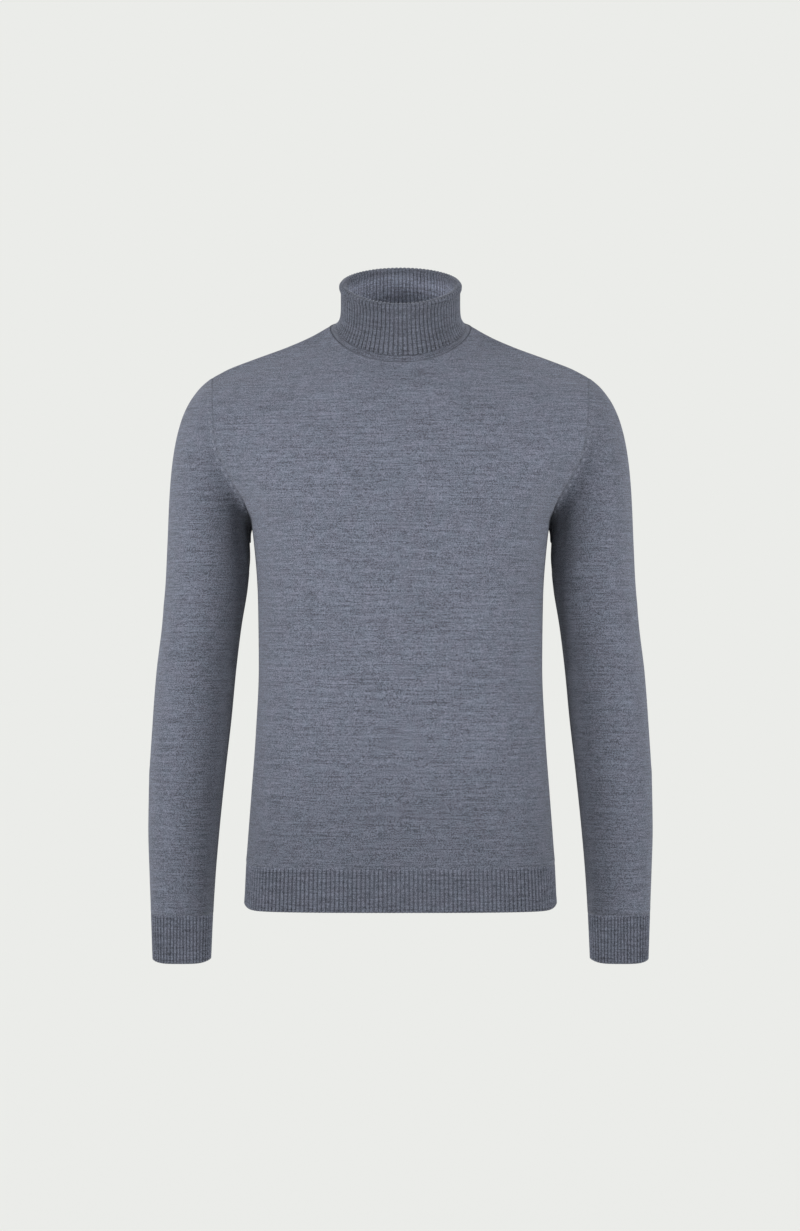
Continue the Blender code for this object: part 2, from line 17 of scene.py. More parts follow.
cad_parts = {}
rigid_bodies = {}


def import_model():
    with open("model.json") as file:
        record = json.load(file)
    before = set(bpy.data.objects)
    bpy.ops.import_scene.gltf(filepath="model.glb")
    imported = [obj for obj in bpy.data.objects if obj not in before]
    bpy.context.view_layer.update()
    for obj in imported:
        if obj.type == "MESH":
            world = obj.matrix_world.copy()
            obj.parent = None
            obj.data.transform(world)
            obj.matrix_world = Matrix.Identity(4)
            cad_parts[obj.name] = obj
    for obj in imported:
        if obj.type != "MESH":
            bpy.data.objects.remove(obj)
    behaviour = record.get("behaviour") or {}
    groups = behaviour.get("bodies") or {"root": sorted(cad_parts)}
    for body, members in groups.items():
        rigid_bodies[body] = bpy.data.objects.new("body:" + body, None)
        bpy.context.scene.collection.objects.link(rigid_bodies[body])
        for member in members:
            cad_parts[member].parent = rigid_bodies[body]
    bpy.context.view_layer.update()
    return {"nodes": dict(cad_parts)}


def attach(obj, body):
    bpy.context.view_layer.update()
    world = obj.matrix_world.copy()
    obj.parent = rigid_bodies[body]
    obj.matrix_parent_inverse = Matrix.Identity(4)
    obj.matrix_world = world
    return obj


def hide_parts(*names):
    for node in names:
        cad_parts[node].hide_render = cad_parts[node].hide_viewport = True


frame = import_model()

MM = 0.001
BODY = "root"
print("nodes:", ", ".join(sorted(frame["nodes"])))

# %% [markdown]
# ## Two small tools for curves
#
# A knitter's pattern gives a few sizes and lets the cloth run smoothly between them. `smooth` does
# the same for a short table: it passes through every value and never swings past one, so a narrow
# waist stays as narrow as it is written. `along_line` then finds points at chosen shares of a
# line's length.

# %% Curves


def unit(vectors):
    """Vectors with the same directions and a length of one."""
    return vectors / np.linalg.norm(vectors, axis=-1, keepdims=True)


def bell(distance, width):
    """1 at no distance, falling smoothly to almost nothing at twice the width."""
    return np.exp(-((distance / width) ** 2))


def eased(distance, length):
    """Goes from 0 to 1 over a length, smoothly."""
    t = np.clip(distance / length, 0.0, 1.0)
    return t * t * (3.0 - 2.0 * t)


def bridge(t, start, end, start_slope, end_slope):
    """A curve from start to end that leaves and arrives with the given slopes. T goes from 0 to 1."""
    return (
        (2 * t**3 - 3 * t**2 + 1) * start
        + (3 * t**2 - 2 * t**3) * end
        + (t**3 - 2 * t**2 + t) * start_slope
        + (t**3 - t**2) * end_slope
    )


def smooth(values, at):
    """A curve through values at 0, 1, 2, ..., read at the given places, which never overshoots them."""
    values = np.asarray(values, float)
    steps = np.diff(values, axis=0)
    before, after = steps[:-1], steps[1:]
    same_way = before * after > 0.0
    total = np.where(same_way, before + after, 1.0)
    slopes = np.zeros_like(values)
    slopes[1:-1] = np.where(same_way, 2.0 * before * after / total, 0.0)
    slopes[0] = steps[0]
    slopes[-1] = steps[-1]
    at = np.atleast_1d(np.asarray(at, float))
    i = np.clip(at.astype(int), 0, len(values) - 2)
    t = (at - i).reshape((-1,) + (1,) * (values.ndim - 1))
    return bridge(t, values[i], values[i + 1], slopes[i], slopes[i + 1])


def read_table(table, columns, at):
    """A table read smoothly at the given places between its rows, as one set of sizes for each."""
    return [dict(zip(columns[1:], sizes)) for sizes in smooth([row[1:] for row in table], at)]


def lengths_along(points, axis=0):
    """How far each point lies from the first one, along a line or along one way of a grid."""
    step = np.linalg.norm(np.diff(points, axis=axis), axis=-1)
    start = np.zeros_like(np.take(step, [0], axis=axis))
    return np.concatenate([start, np.cumsum(step, axis=axis)], axis=axis)


def along_line(points, shares):
    """Points of a line at the given shares of its length."""
    along = lengths_along(points)
    at = np.asarray(shares) * along[-1]
    return np.stack([np.interp(at, along, points[:, k]) for k in range(3)], axis=1)


# %% [markdown]
# ## The form of the body
#
# On the real sweater the front and back are flat panels, and the body inside gives them their
# shape. One could inflate flat panels with a cloth simulation, but then the outline would be
# whatever the simulation gives. Here the outline is known, so each half of the body is a stack of
# rounded sections from the hem to the shoulder, in millimetres. Squareness ("full") goes from a
# boxy hem to a rounder chest, and near the top the rows bend to follow the neckline.

# %% Sizes of the body
SHOULDER_X, SHOULDER_Y, SHOULDER_Z = 220.0, 4.0, -62.0
NECK_POINT_X, NECK_POINT_Y, NECK_POINT_Z = 83.0, 8.0, -1.0
NECK_FRONT_Y, NECK_FRONT_Z = -70.0, -50.0
NECK_BACK_Y, NECK_BACK_Z = 70.0, 17.0
NECK_ROUNDNESS = 1.15
SHOULDER_STEPS = 5
NECK_STEPS = 12
PANEL_STEPS = 2 * SHOULDER_STEPS + NECK_STEPS
MID_SHOULDER = 0.6 * SHOULDER_STEPS
SOFTENING = 3.0

TORSO_COLUMNS = (
    "name", "edge_x", "edge_z", "edge_front_y", "edge_back_y",
    "front_y", "front_z", "back_y", "back_z", "turn", "full", "follow",
)
TORSO = (
    ("hem",        182.0, -682.0,   0.0,  0.0, -102.0, -677.0, 104.0, -678.0, 90.0, 3.2, 0.00),
    ("rib_top",    179.6, -628.0,   0.0,  0.0, -103.0, -626.0, 105.0, -627.0, 90.0, 3.1, 0.00),
    ("hip",        174.6, -556.0,   0.0,  0.0, -101.0, -556.0, 103.0, -556.0, 90.0, 2.8, 0.00),
    ("low_waist",  169.0, -480.0,   0.0,  0.0,  -98.0, -480.0,  97.0, -480.0, 90.0, 2.6, 0.00),
    ("waist",      165.4, -400.0,   0.0,  0.0,  -99.0, -400.0,  94.0, -400.0, 90.0, 2.5, 0.00),
    ("ribs",       166.4, -320.0,   0.0,  0.0, -109.0, -322.0, 101.0, -320.0, 90.0, 2.5, 0.00),
    ("chest",      170.4, -262.0,   0.0,  0.0, -119.0, -268.0, 110.0, -262.0, 90.0, 2.5, 0.00),
    ("underarm",   173.6, -236.0,   0.0,  0.0, -122.0, -242.0, 113.0, -232.0, 90.0, 2.5, 0.00),
    ("arm_low",    179.5, -211.0, -42.0, 42.0, -122.5, -218.0, 115.5, -203.0, 72.0, 2.4, 0.01),
    ("arm_mid",    193.5, -184.0, -59.0, 60.0, -120.5, -190.0, 116.0, -169.0, 66.0, 2.3, 0.03),
    ("arm_high",   209.8, -148.0, -62.0, 66.0, -114.0, -158.0, 112.5, -129.0, 62.0, 2.2, 0.09),
    ("yoke",       216.0, -109.0, -51.0, 57.0, -103.0, -122.0, 104.0,  -84.0, 58.0, 2.1, 0.25),
    ("yoke_top",   218.5,  -80.0, -27.0, 33.0,  -87.5,  -85.0,  89.5,  -34.0, 55.0, 2.0, 0.58),
    ("shoulder",   SHOULDER_X, SHOULDER_Z, SHOULDER_Y, SHOULDER_Y,
     NECK_FRONT_Y, NECK_FRONT_Z, NECK_BACK_Y, NECK_BACK_Z, 50.0, 2.0, 1.00),
)
HEM_CORNER_LIFT = 8.0
HEM_CORNER_REACH = 5.0
HEM_CORNER_LEVEL = 0.4
RIB_TOP_LEVEL, UNDERARM_LEVEL, TOP_LEVEL = 1.0, 7.0, 13.0
SHOULDER_SEAM = (
    (SHOULDER_X, SHOULDER_Y, SHOULDER_Z),
    (202.0, 4.5, -52.0),
    (174.0, 5.0, -41.0),
    (132.0, 6.0, -25.5),
    (104.0, 7.0, -13.0),
    (NECK_POINT_X, NECK_POINT_Y, NECK_POINT_Z),
)
SHAPE_SAMPLES = 401
print("body table:", len(TORSO), "sections, chest", 2 * TORSO[6][1], "mm wide")

# %% Sections of the body
FRONT, BACK = -1, 1


def half_section(section, side, shares):
    """Half a body section, from one edge through the middle to the other."""
    front = side == FRONT
    edge_y = section["edge_front_y"] if front else section["edge_back_y"]
    middle_y = section["front_y"] if front else section["back_y"]
    middle_z = section["front_z"] if front else section["back_z"]
    turn = math.radians(section["turn"])
    power = 2.0 / section["full"]
    angle = np.linspace(-turn, turn, SHAPE_SAMPLES)
    across = np.sign(angle) * np.abs(np.sin(angle)) ** power / math.sin(turn) ** power
    end = abs(math.cos(turn)) ** power
    rise = (np.abs(np.cos(angle)) ** power - end) / (1.0 - end)
    x = section["edge_x"] * across
    y = edge_y + (middle_y - edge_y) * rise
    z = section["edge_z"] + (middle_z - section["edge_z"]) * rise
    return along_line(np.stack([x, y, z], axis=1), shares)


def neckline(side, shares):
    """Half the neckline, from the right neck point (-X) to the left one."""
    angle = np.linspace(0.0, math.pi, SHAPE_SAMPLES)
    reach, drop = (NECK_FRONT_Y, NECK_FRONT_Z) if side == FRONT else (NECK_BACK_Y, NECK_BACK_Z)
    x = -NECK_POINT_X * np.cos(angle)
    y = NECK_POINT_Y + (reach - NECK_POINT_Y) * np.sin(angle)
    z = NECK_POINT_Z + (drop - NECK_POINT_Z) * np.sin(angle) ** NECK_ROUNDNESS
    return along_line(np.stack([x, y, z], axis=1), shares)


def top_edge(side, columns):
    """A panel's top edge: shoulder seam, neckline, shoulder seam."""
    seam = smooth(SHOULDER_SEAM, np.linspace(0, len(SHOULDER_SEAM) - 1, 61))
    into_neck = (columns - SHOULDER_STEPS) / NECK_STEPS
    right = along_line(seam, np.clip(columns / SHOULDER_STEPS, 0.0, 1.0)) * (-1.0, 1.0, 1.0)
    left = along_line(seam, np.clip((PANEL_STEPS - columns) / SHOULDER_STEPS, 0.0, 1.0))
    neck = neckline(side, np.clip(into_neck, 0.0, 1.0))
    line = np.where(into_neck[:, None] < 0.0, right, neck)
    return np.where(into_neck[:, None] > 1.0, left, line)


def softened(line, reach):
    """A line of offsets, evened out over reach of its columns on each side, with its ends kept."""
    columns = np.linspace(0.0, PANEL_STEPS, len(line))
    weight = bell(columns[:, None] - columns[None, :], max(reach, 1e-3))
    soft = weight @ line / weight.sum(axis=1)[:, None]
    share = (columns / PANEL_STEPS)[:, None]
    return soft - (1.0 - share) * (soft[0] - line[0]) - share * (soft[-1] - line[-1])


def panel_rows(side, levels, columns):
    """The grid of a body panel: one row of points for each level, in millimetres."""
    last = dict(zip(TORSO_COLUMNS, TORSO[-1]))
    dense = np.linspace(0.0, PANEL_STEPS, 10 * PANEL_STEPS + 1)
    own_line = top_edge(side, dense) - half_section(last, side, dense / PANEL_STEPS)
    rows = []
    for section in read_table(TORSO, TORSO_COLUMNS, levels):
        row = half_section(section, side, columns / PANEL_STEPS)
        if section["follow"] > 0.0:
            line = softened(own_line, SOFTENING * (1.0 - section["follow"]))
            row += section["follow"] * np.stack([np.interp(columns, dense, c) for c in line.T], axis=1)
        rows.append(row)
    rows = np.array(rows)
    from_side = np.abs(rows[:, :1, 0]) - np.abs(rows[:, :, 0])
    near_hem = eased(HEM_CORNER_LEVEL - np.array(levels), HEM_CORNER_LEVEL)
    rows[:, :, 2] += HEM_CORNER_LIFT * near_hem[:, None] * np.exp(-from_side / HEM_CORNER_REACH)
    return rows + body_folds(rows, side)


# %% [markdown]
# ## Folds, placed one by one
#
# Fine wool hangs almost smooth, so the few folds it has matter. Each one starts under tension: at
# the underarm where the sleeve pulls the chest, over the shoulder blades, in the small of the back,
# and inside the elbow. A fold here is a soft trough or ridge between two ends, and it fades out at
# both. The table keeps them uneven in length, depth and spacing, as they are on cloth.

# %% Folds
# Each fold: its name, across and up at its start, across and up at its end, its width and height.
BODY_FOLDS = {
    FRONT: (
        ("left_underarm",         150.0, -262.0,  196.0, -150.0, 13.0, -3.6),
        ("left_underarm_roll",    118.0, -262.0,  176.0, -146.0, 17.0,  2.4),
        ("right_underarm",       -151.0, -264.0, -195.0, -152.0, 13.0, -3.8),
        ("right_underarm_roll",  -120.0, -266.0, -174.0, -148.0, 17.0,  2.2),
        ("left_waist_crease",      70.0, -452.0,  150.0, -430.0,  9.0, -0.8),
        ("right_waist_crease",    -86.0, -470.0, -152.0, -446.0, 10.0, -0.7),
        ("left_hip_crease",        96.0, -586.0,  160.0, -560.0,  9.0, -0.7),
        ("right_chest_crease",   -108.0, -300.0, -158.0, -268.0,  8.0, -0.8),
    ),
    BACK: (
        ("left_blade",            146.0, -262.0,  192.0, -140.0, 15.0, -3.4),
        ("left_blade_roll",       112.0, -258.0,  168.0, -128.0, 18.0,  2.4),
        ("right_blade",          -148.0, -260.0, -193.0, -144.0, 14.0, -3.2),
        ("right_blade_roll",     -110.0, -262.0, -170.0, -130.0, 18.0,  2.6),
        ("small_of_back",         -70.0, -452.0,   88.0, -444.0, 16.0, -2.4),
        ("low_back_roll",         -96.0, -486.0,   64.0, -478.0, 18.0,  2.0),
        ("low_back_crease",       -20.0, -514.0,  112.0, -504.0,  9.0, -1.1),
        ("high_back_crease",      -84.0, -418.0,   30.0, -424.0,  8.0, -0.9),
        ("left_back_fall",         96.0, -316.0,   62.0, -540.0, 20.0,  1.9),
        ("left_back_hollow",      124.0, -340.0,  104.0, -590.0, 15.0, -1.5),
        ("right_back_fall",       -88.0, -350.0,  -66.0, -604.0, 23.0,  1.7),
        ("right_back_hollow",    -128.0, -306.0,  -98.0, -500.0, 16.0, -1.6),
        ("back_yoke_pull",       -118.0, -108.0,   40.0, -122.0, 14.0, -1.3),
        ("back_yoke_roll",        -46.0, -146.0,  112.0, -132.0, 17.0,  1.2),
        ("left_seat_crease",       50.0, -596.0,  150.0, -566.0, 10.0, -1.2),
    ),
}
SLEEVE_FOLDS = (
    ("front_break",            20.0, -392.0,  100.0, -362.0, 11.0, -2.6),
    ("front_roll",             10.0, -418.0,   96.0, -388.0, 12.0,  1.8),
    ("back_break",            -14.0, -300.0,  -90.0, -262.0, 13.0, -2.4),
    ("forearm_break",          12.0, -552.0,   72.0, -534.0, 10.0, -1.6),
    ("outer_break",           128.0, -650.0,  176.0, -662.0,  9.0, -1.4),
    ("pit_pull",                2.0, -282.0,   52.0, -226.0,  4.5, -1.3),
    ("pit_pull_low",            4.0, -304.0,   66.0, -252.0,  5.5, -1.1),
    ("pit_pull_back",          -2.0, -290.0,  -60.0, -232.0,  6.0, -1.4),
    ("elbow_back",            -18.0, -432.0, -112.0, -398.0, 10.0, -1.9),
    ("elbow_roll",            -12.0, -456.0, -104.0, -424.0, 12.0,  1.7),
    ("elbow_low",             -30.0, -484.0,  -96.0, -462.0,  8.0, -1.3),
    ("outer_fall",            150.0, -330.0,  132.0, -520.0, 16.0, -1.2),
    ("wrist_gather",          -16.0, -668.0,  -84.0, -652.0,  8.0, -1.2),
)
EDGE_FADE = 12.0


def with_last(rows):
    """A closed grid with its first column repeated at the end."""
    return np.concatenate([rows, rows[:, :1]], axis=1)


def fold_depth(u, v, fold):
    """Height of one fold at places u, v. It runs from one end to the other and tapers at both."""
    _, start_u, start_v, end_u, end_v, width, height = fold
    run = np.array([end_u - start_u, end_v - start_v])
    length = np.linalg.norm(run)
    run /= length
    share = np.clip(((u - start_u) * run[0] + (v - start_v) * run[1]) / length, 0.0, 1.0)
    away = (u - start_u) * run[1] - (v - start_v) * run[0]
    taper = 4.0 * share * (1.0 - share)
    return height * np.sqrt(taper) * bell(away, width)


def body_folds(rows, side):
    """How far the folds move each point of a panel outwards. They die out before its edges."""
    x, z = rows[:, :, 0], rows[:, :, 2]
    height = sum(fold_depth(x, z, fold) for fold in BODY_FOLDS[side])
    edge = np.abs(rows[:, :1, 0]) - np.abs(x)
    height *= 1.0 - bell(edge, EDGE_FADE)
    move = np.zeros_like(rows)
    move[:, :, 1] = side * height
    return move


def sleeve_folds(rows):
    """How far the folds move each point of a sleeve outwards."""
    along = lengths_along(with_last(rows), axis=1)
    girth, along = along[:, -1:], along[:, :-1]
    height = sum(
        fold_depth(along + turn * girth, rows[:, :, 2], fold)
        for fold in SLEEVE_FOLDS
        for turn in (-1, 0, 1)
    )
    out = rows - rows.mean(axis=1, keepdims=True)
    out[:, :, 2] = 0.0
    return unit(out) * height[:, :, None]


print("folds:", sum(map(len, BODY_FOLDS.values())), "on the body and", len(SLEEVE_FOLDS), "on each sleeve")

# %% [markdown]
# ## Where the grid lines go
#
# A sheet needs fine steps only where something small happens. Seams are only a few millimetres
# wide, so the grid lines crowd together there and spread out to 4 mm elsewhere. Levels are spaced
# by the length of cloth between them, so the squares stay about square.

# %% Grid lines
CLOSE_STEPS = np.array([0.0, 0.7, 1.4, 2.1, 2.9, 3.9, 5.2, 7.2])
PITCH = 4.0
PANEL_WIDTH = 470.0


def crowded(length, pitch=PITCH, start=True, end=True):
    """Shares of a length, crowded towards the ends that have a seam."""
    first = CLOSE_STEPS if start else np.zeros(1)
    last = CLOSE_STEPS if end else np.zeros(1)
    count = max(2, round((length - first[-1] - last[-1]) / pitch))
    middle = np.linspace(first[-1], length - last[-1], count + 1)
    return np.concatenate([first[:-1], middle, length - last[:-1][::-1]]) / length


def spaced_levels(first, last, start=True, end=True):
    """Levels from first to last, spaced by the length of the body's side line between them."""
    levels = np.linspace(first, last, 241)
    sections = read_table(TORSO, TORSO_COLUMNS, levels)
    side_line = ("edge_x", "edge_front_y", "edge_z")
    along = lengths_along(np.array([[section[name] for name in side_line] for section in sections]))
    return np.interp(crowded(along[-1], start=start, end=end) * along[-1], along, levels)


side_levels = spaced_levels(RIB_TOP_LEVEL, UNDERARM_LEVEL, start=True, end=False)
armhole_levels = spaced_levels(UNDERARM_LEVEL, TOP_LEVEL)
panel_levels = np.concatenate([side_levels[:-1], armhole_levels])
panel_columns = PANEL_STEPS * crowded(PANEL_WIDTH)
front_form = panel_rows(FRONT, panel_levels, panel_columns)
back_form = panel_rows(BACK, panel_levels, panel_columns)
underarm_row = len(side_levels) - 1
print("panel grid:", front_form.shape[0], "rows of", front_form.shape[1])

# %% [markdown]
# ## The form of the sleeves
#
# A set-in sleeve starts at the armhole, which is already there: it is the edge of both panels above
# the underarm. Its rings start on that curve, leave it in the direction in which the shoulder runs
# out, and turn down into the arm. Below that the sleeve is a stack of oval rings like the body. The
# arm hangs a little forward at the wrist, as arms do.

# %% Sleeve form
SLEEVE_COLUMNS = ("name", "inner_x", "inner_z", "outer_x", "outer_z", "mid_y", "depth", "full")
SLEEVE = (
    ("biceps",     176.4, -284.0, 272.4, -256.0,   1.0, 58.0, 2.15),
    ("upper_arm",  179.4, -311.0, 274.6, -302.0,   1.0, 56.0, 2.15),
    ("above",      186.4, -354.0, 279.4, -352.0,   0.0, 53.0, 2.15),
    ("elbow",      192.5, -405.0, 286.2, -408.0,  -2.0, 50.0, 2.15),
    ("below",      197.5, -460.0, 290.0, -463.0,  -6.0, 47.0, 2.15),
    ("forearm",    204.0, -520.0, 292.6, -522.0, -12.0, 43.0, 2.15),
    ("low_arm",    210.0, -582.0, 293.0, -582.0, -20.0, 38.0, 2.15),
    ("wrist",      214.6, -640.0, 290.9, -640.0, -27.0, 33.0, 2.2),
    ("cuff_top",   217.0, -684.0, 288.8, -684.0, -32.0, 29.5, 2.3),
    ("cuff_edge",  219.0, -739.5, 286.4, -739.5, -38.0, 27.0, 2.5),
)
CUFF_TOP_LEVEL, CUFF_EDGE_LEVEL = 8.0, 9.0
CAP_TANGENT = 0.86
BICEPS_TANGENT = 1.05
CAP_BLEND = 0.6
CUFF_CORNER_LIFT = 3.5
CAP_LENGTH, ARM_LENGTH, CUFF_LENGTH = 190.0, 428.0, 56.0


def sleeve_rings(levels, angle):
    """Rings of the sleeve on the +X side. Angle 0 is the underarm line and pi the outer line."""
    rings = []
    for ring in read_table(SLEEVE, SLEEVE_COLUMNS, levels):
        inner = np.array([ring["inner_x"], ring["mid_y"], ring["inner_z"]])
        outer = np.array([ring["outer_x"], ring["mid_y"], ring["outer_z"]])
        power = 2.0 / ring["full"]
        across = -np.sign(np.cos(angle)) * np.abs(np.cos(angle)) ** power
        deep = -np.sign(np.sin(angle)) * np.abs(np.sin(angle)) ** power
        points = (inner + outer) / 2 + across[:, None] * (outer - inner) / 2
        points[:, 1] += deep * ring["depth"]
        rings.append(points)
    return np.array(rings)


def armhole(front, back):
    """The armhole on the +X side: its points, the way the body runs out there, and their angles."""
    loop = np.concatenate([front[:, -1], back[-2:0:-1, -1]])
    near = 8  # columns back from the edge, so that the seam's own crowding doesn't matter
    run = np.concatenate([front[:, -1] - front[:, -near], (back[:, -1] - back[:, -near])[-2:0:-1]])
    along = lengths_along(np.concatenate([loop, loop[:1]]))
    top = len(front) - 1
    up = math.pi * along[: top + 1] / along[top]
    down = math.pi * (1.0 + (along[top + 1 : -1] - along[top]) / (along[-1] - along[top]))
    return loop, unit(run), np.concatenate([up, down])


def sleeve_rows(front, back, cap_shares, levels):
    """The grid of the sleeve on the +X side, from the armhole down."""
    loop, run, angle = armhole(front, back)
    rings = sleeve_rings(levels, angle)
    down = unit(sleeve_rings([levels[0] + 0.5], angle)[0] - rings[0])
    reach = np.linalg.norm(rings[0] - loop, axis=1)[:, None]
    body = ((1.0 - np.cos(angle)) / 2.0)[:, None] ** CAP_BLEND
    leave = unit(body * run + (1.0 - body) * down)
    leave, arrive = CAP_TANGENT * reach * leave, BICEPS_TANGENT * reach * down
    cap = [bridge(share, loop, rings[0], leave, arrive) for share in cap_shares[:-1]]
    rows = np.concatenate([cap, rings])
    return rows + sleeve_folds(rows), angle


cap_shares = crowded(CAP_LENGTH, end=False)
arm_shares = crowded(ARM_LENGTH, pitch=4.5, start=False, end=False)
sleeve_form, sleeve_angle = sleeve_rows(
    front_form[underarm_row:], back_form[underarm_row:], cap_shares, CUFF_TOP_LEVEL * arm_shares,
)
print("sleeve grid:", sleeve_form.shape[0], "rings of", sleeve_form.shape[1])

# %% [markdown]
# ## From points to cloth
#
# `create_grid` makes the sheet, with one square for each square of the pattern. The grid's corners
# then move onto the form. The UV map is written in metres of cloth, so that a stitch is the same
# size everywhere and a row of knitting stays a row. The first and last columns of a tube are merged,
# and its UV map simply ends there, at the seam.

# %% Sheets


def outward(rows, closed):
    """Directions square to a grid of points, pointing out of the cloth."""
    if closed:
        across = np.roll(rows, -1, axis=1) - np.roll(rows, 1, axis=1)
    else:
        across = np.gradient(rows, axis=1)
    return unit(np.cross(across, np.gradient(rows, axis=0)))


def distance_across(rows, middle):
    """How far each point lies along its row from the middle column, ignoring height."""
    along = lengths_along(rows[:, :, :2], axis=1)
    return along - along[:, middle][:, None]


def distance_up(rows, start, axes=(0, 1, 2)):
    """How far each point lies up its column from the starting row."""
    along = lengths_along(rows[:, :, list(axes)])
    return along - along[start][None, :]


def to_mesh(name, work):
    """Writes what bmesh has made to a new mesh."""
    mesh = bpy.data.meshes.new(name)
    work.to_mesh(mesh)
    work.free()
    return mesh


def in_scene(name, data):
    """A new object in the scene, for a mesh, a lamp or a camera."""
    thing = bpy.data.objects.new(name, data)
    bpy.context.scene.collection.objects.link(thing)
    return thing


def knit_sheet(name, rows, u, v, closed, shade):
    """A sheet of squares over a grid of points in millimetres, with u and v as its UV map.

    Shade says how much darker the yarn is painted at each point, and below zero how much lighter: the dark
    lines of seams, and painted shade and light where less or more light falls.
    """
    if closed:
        rows, shade = with_last(rows), with_last(shade)
    up, across = rows.shape[0] - 1, rows.shape[1] - 1
    grid = bmesh.new()
    grid.loops.layers.uv.new("UVMap")
    bmesh.ops.create_grid(grid, x_segments=across, y_segments=up, size=0.5, calc_uvs=True)
    mesh = to_mesh(name, grid)
    places = np.empty(3 * len(mesh.vertices), np.float32)
    mesh.vertices.foreach_get("co", places)
    places = places.reshape(-1, 3)
    i = np.rint((places[:, 1] + 0.5) * up).astype(int)
    j = np.rint((places[:, 0] + 0.5) * across).astype(int)
    mesh.vertices.foreach_set("co", (rows[i, j] * MM).astype(np.float32).ravel())
    mesh.attributes.new("shade", "FLOAT", "POINT")
    mesh.attributes["shade"].data.foreach_set("value", shade[i, j].astype(np.float32))
    marks = np.empty(2 * len(mesh.loops), np.float32)
    uv_map = mesh.uv_layers["UVMap"].data
    uv_map.foreach_get("uv", marks)
    marks = marks.reshape(-1, 2)
    i = np.rint(marks[:, 1] * up).astype(int)
    j = np.rint(marks[:, 0] * across).astype(int)
    uv_map.foreach_set("uv", (np.stack([u[i, j], v[i, j]], axis=1) * MM).astype(np.float32).ravel())
    mesh.update()
    if closed:
        weld(mesh)
    mesh.shade_smooth()
    return in_scene(name, mesh)


def weld(mesh):
    """Merges the points that lie together, such as the two edges of a tube."""
    work = bmesh.new()
    work.from_mesh(mesh)
    bmesh.ops.remove_doubles(work, verts=work.verts, dist=1e-6)
    work.to_mesh(mesh)
    work.free()


def thicken(piece, thickness, offset):
    """Gives a sheet its thickness in millimetres: inwards at offset -1, and to both sides at 0."""
    wall = piece.modifiers.new("wall", "SOLIDIFY")
    wall.thickness = thickness * MM
    wall.offset = offset
    wall.use_even_offset = False
    wall.use_rim = True


def cut_size(form, closed):
    """Width, length and area of the cloth in a form, in metres, before ribs and swells are added."""
    form = with_last(form) if closed else form
    width = lengths_along(form, axis=1).max()
    length = lengths_along(form).max()
    a = form[1:, :-1] - form[:-1, :-1]
    b = form[:-1, 1:] - form[:-1, :-1]
    area = np.linalg.norm(np.cross(a, b), axis=2).sum()
    return round(width * MM, 3), round(length * MM, 3), round(area * MM * MM, 4)


def knitted(name, form, rows, u, v, shade, wall, closed=False, offset=-1.0):
    """One knitted piece: a thick sheet. It prints how much cloth its form takes."""
    piece = knit_sheet(name, rows, u, v, closed, shade)
    thicken(piece, wall, offset)
    print(name, "cut about", cut_size(form, closed))
    return piece


PLAIN_WALL = 1.5
RIB_WALL = 1.3
print("plain knit", PLAIN_WALL, "mm thick, rib", RIB_WALL, "mm")

# %% [markdown]
# ## Front and back
#
# The two panels are plain knit. Where two pieces are linked together, the cloth puffs up a little
# on each side of the seam and the seam itself stays low. The very edge doesn't move, so neighbours
# still meet exactly. At the bottom the plain knit swells softly where the tighter rib takes over.

# %% Front and back panels


def seam_puff(distance, height=0.35, near=1.3, far=6.5):
    """Height of the cloth beside a seam: nothing on the seam, a soft swell next to it."""
    return height * (1.0 - bell(distance, near)) * bell(distance, far)


def seam_line(distance, depth=0.28, reach=0.9):
    """How much darker the cloth is in the narrow line of a seam."""
    return depth * bell(distance, reach)


def from_edges(along):
    """Distance of each point of a row from the nearer of its two ends."""
    return np.minimum(along - along[:, :1], along[:, -1:] - along)


def level_courses(form):
    """Where the knitted rows run: level all the way across, as in the middle of one shoulder."""
    column = int(np.argmin(np.abs(panel_columns - MID_SHOULDER)))
    height = form[:, column, 2]
    along = distance_up(form, underarm_row, axes=(1, 2))[:, column]
    above = np.maximum(form[:, :, 2] - height[-1], 0.0)
    below = np.minimum(form[:, :, 2] - height[0], 0.0)
    return np.interp(form[:, :, 2], height, along) + above + below


# Painted shade: the panels darken towards the hem, and a painted shadow of the collar lies just below the
# neckline's middle.
LOW_SHADE, LOW_REACH = 0.17, 170.0
NECK_SHADE, NECK_DROP, NECK_HEIGHT, NECK_WIDTH = 0.13, 20.0, 13.0, 52.0


def panel(name, form):
    """A plain panel with a soft swell beside each of its seams, painted darker towards the hem and with a
    painted shadow below the collar.
    """
    across = distance_across(form, form.shape[1] // 2)
    up = distance_up(form, 0)
    relief = np.maximum(seam_puff(from_edges(across)), seam_puff(up[-1] - up))
    relief = np.maximum(relief, seam_puff(up, height=0.5, near=2.4, far=9.0))
    rows = form + outward(form, False) * relief[:, :, None]
    shade = np.maximum(seam_line(from_edges(across)), seam_line(up[-1] - up))
    shade += LOW_SHADE * (1.0 - eased(up, LOW_REACH))
    shade += NECK_SHADE * bell(up[-1] - up - NECK_DROP, NECK_HEIGHT) * bell(form[:, :, 0], NECK_WIDTH)
    return knitted(name, form, rows, across, level_courses(form), shade, PLAIN_WALL)


front_panel = panel("front_knit", front_form)
back_panel = panel("back_knit", back_form[:, ::-1])
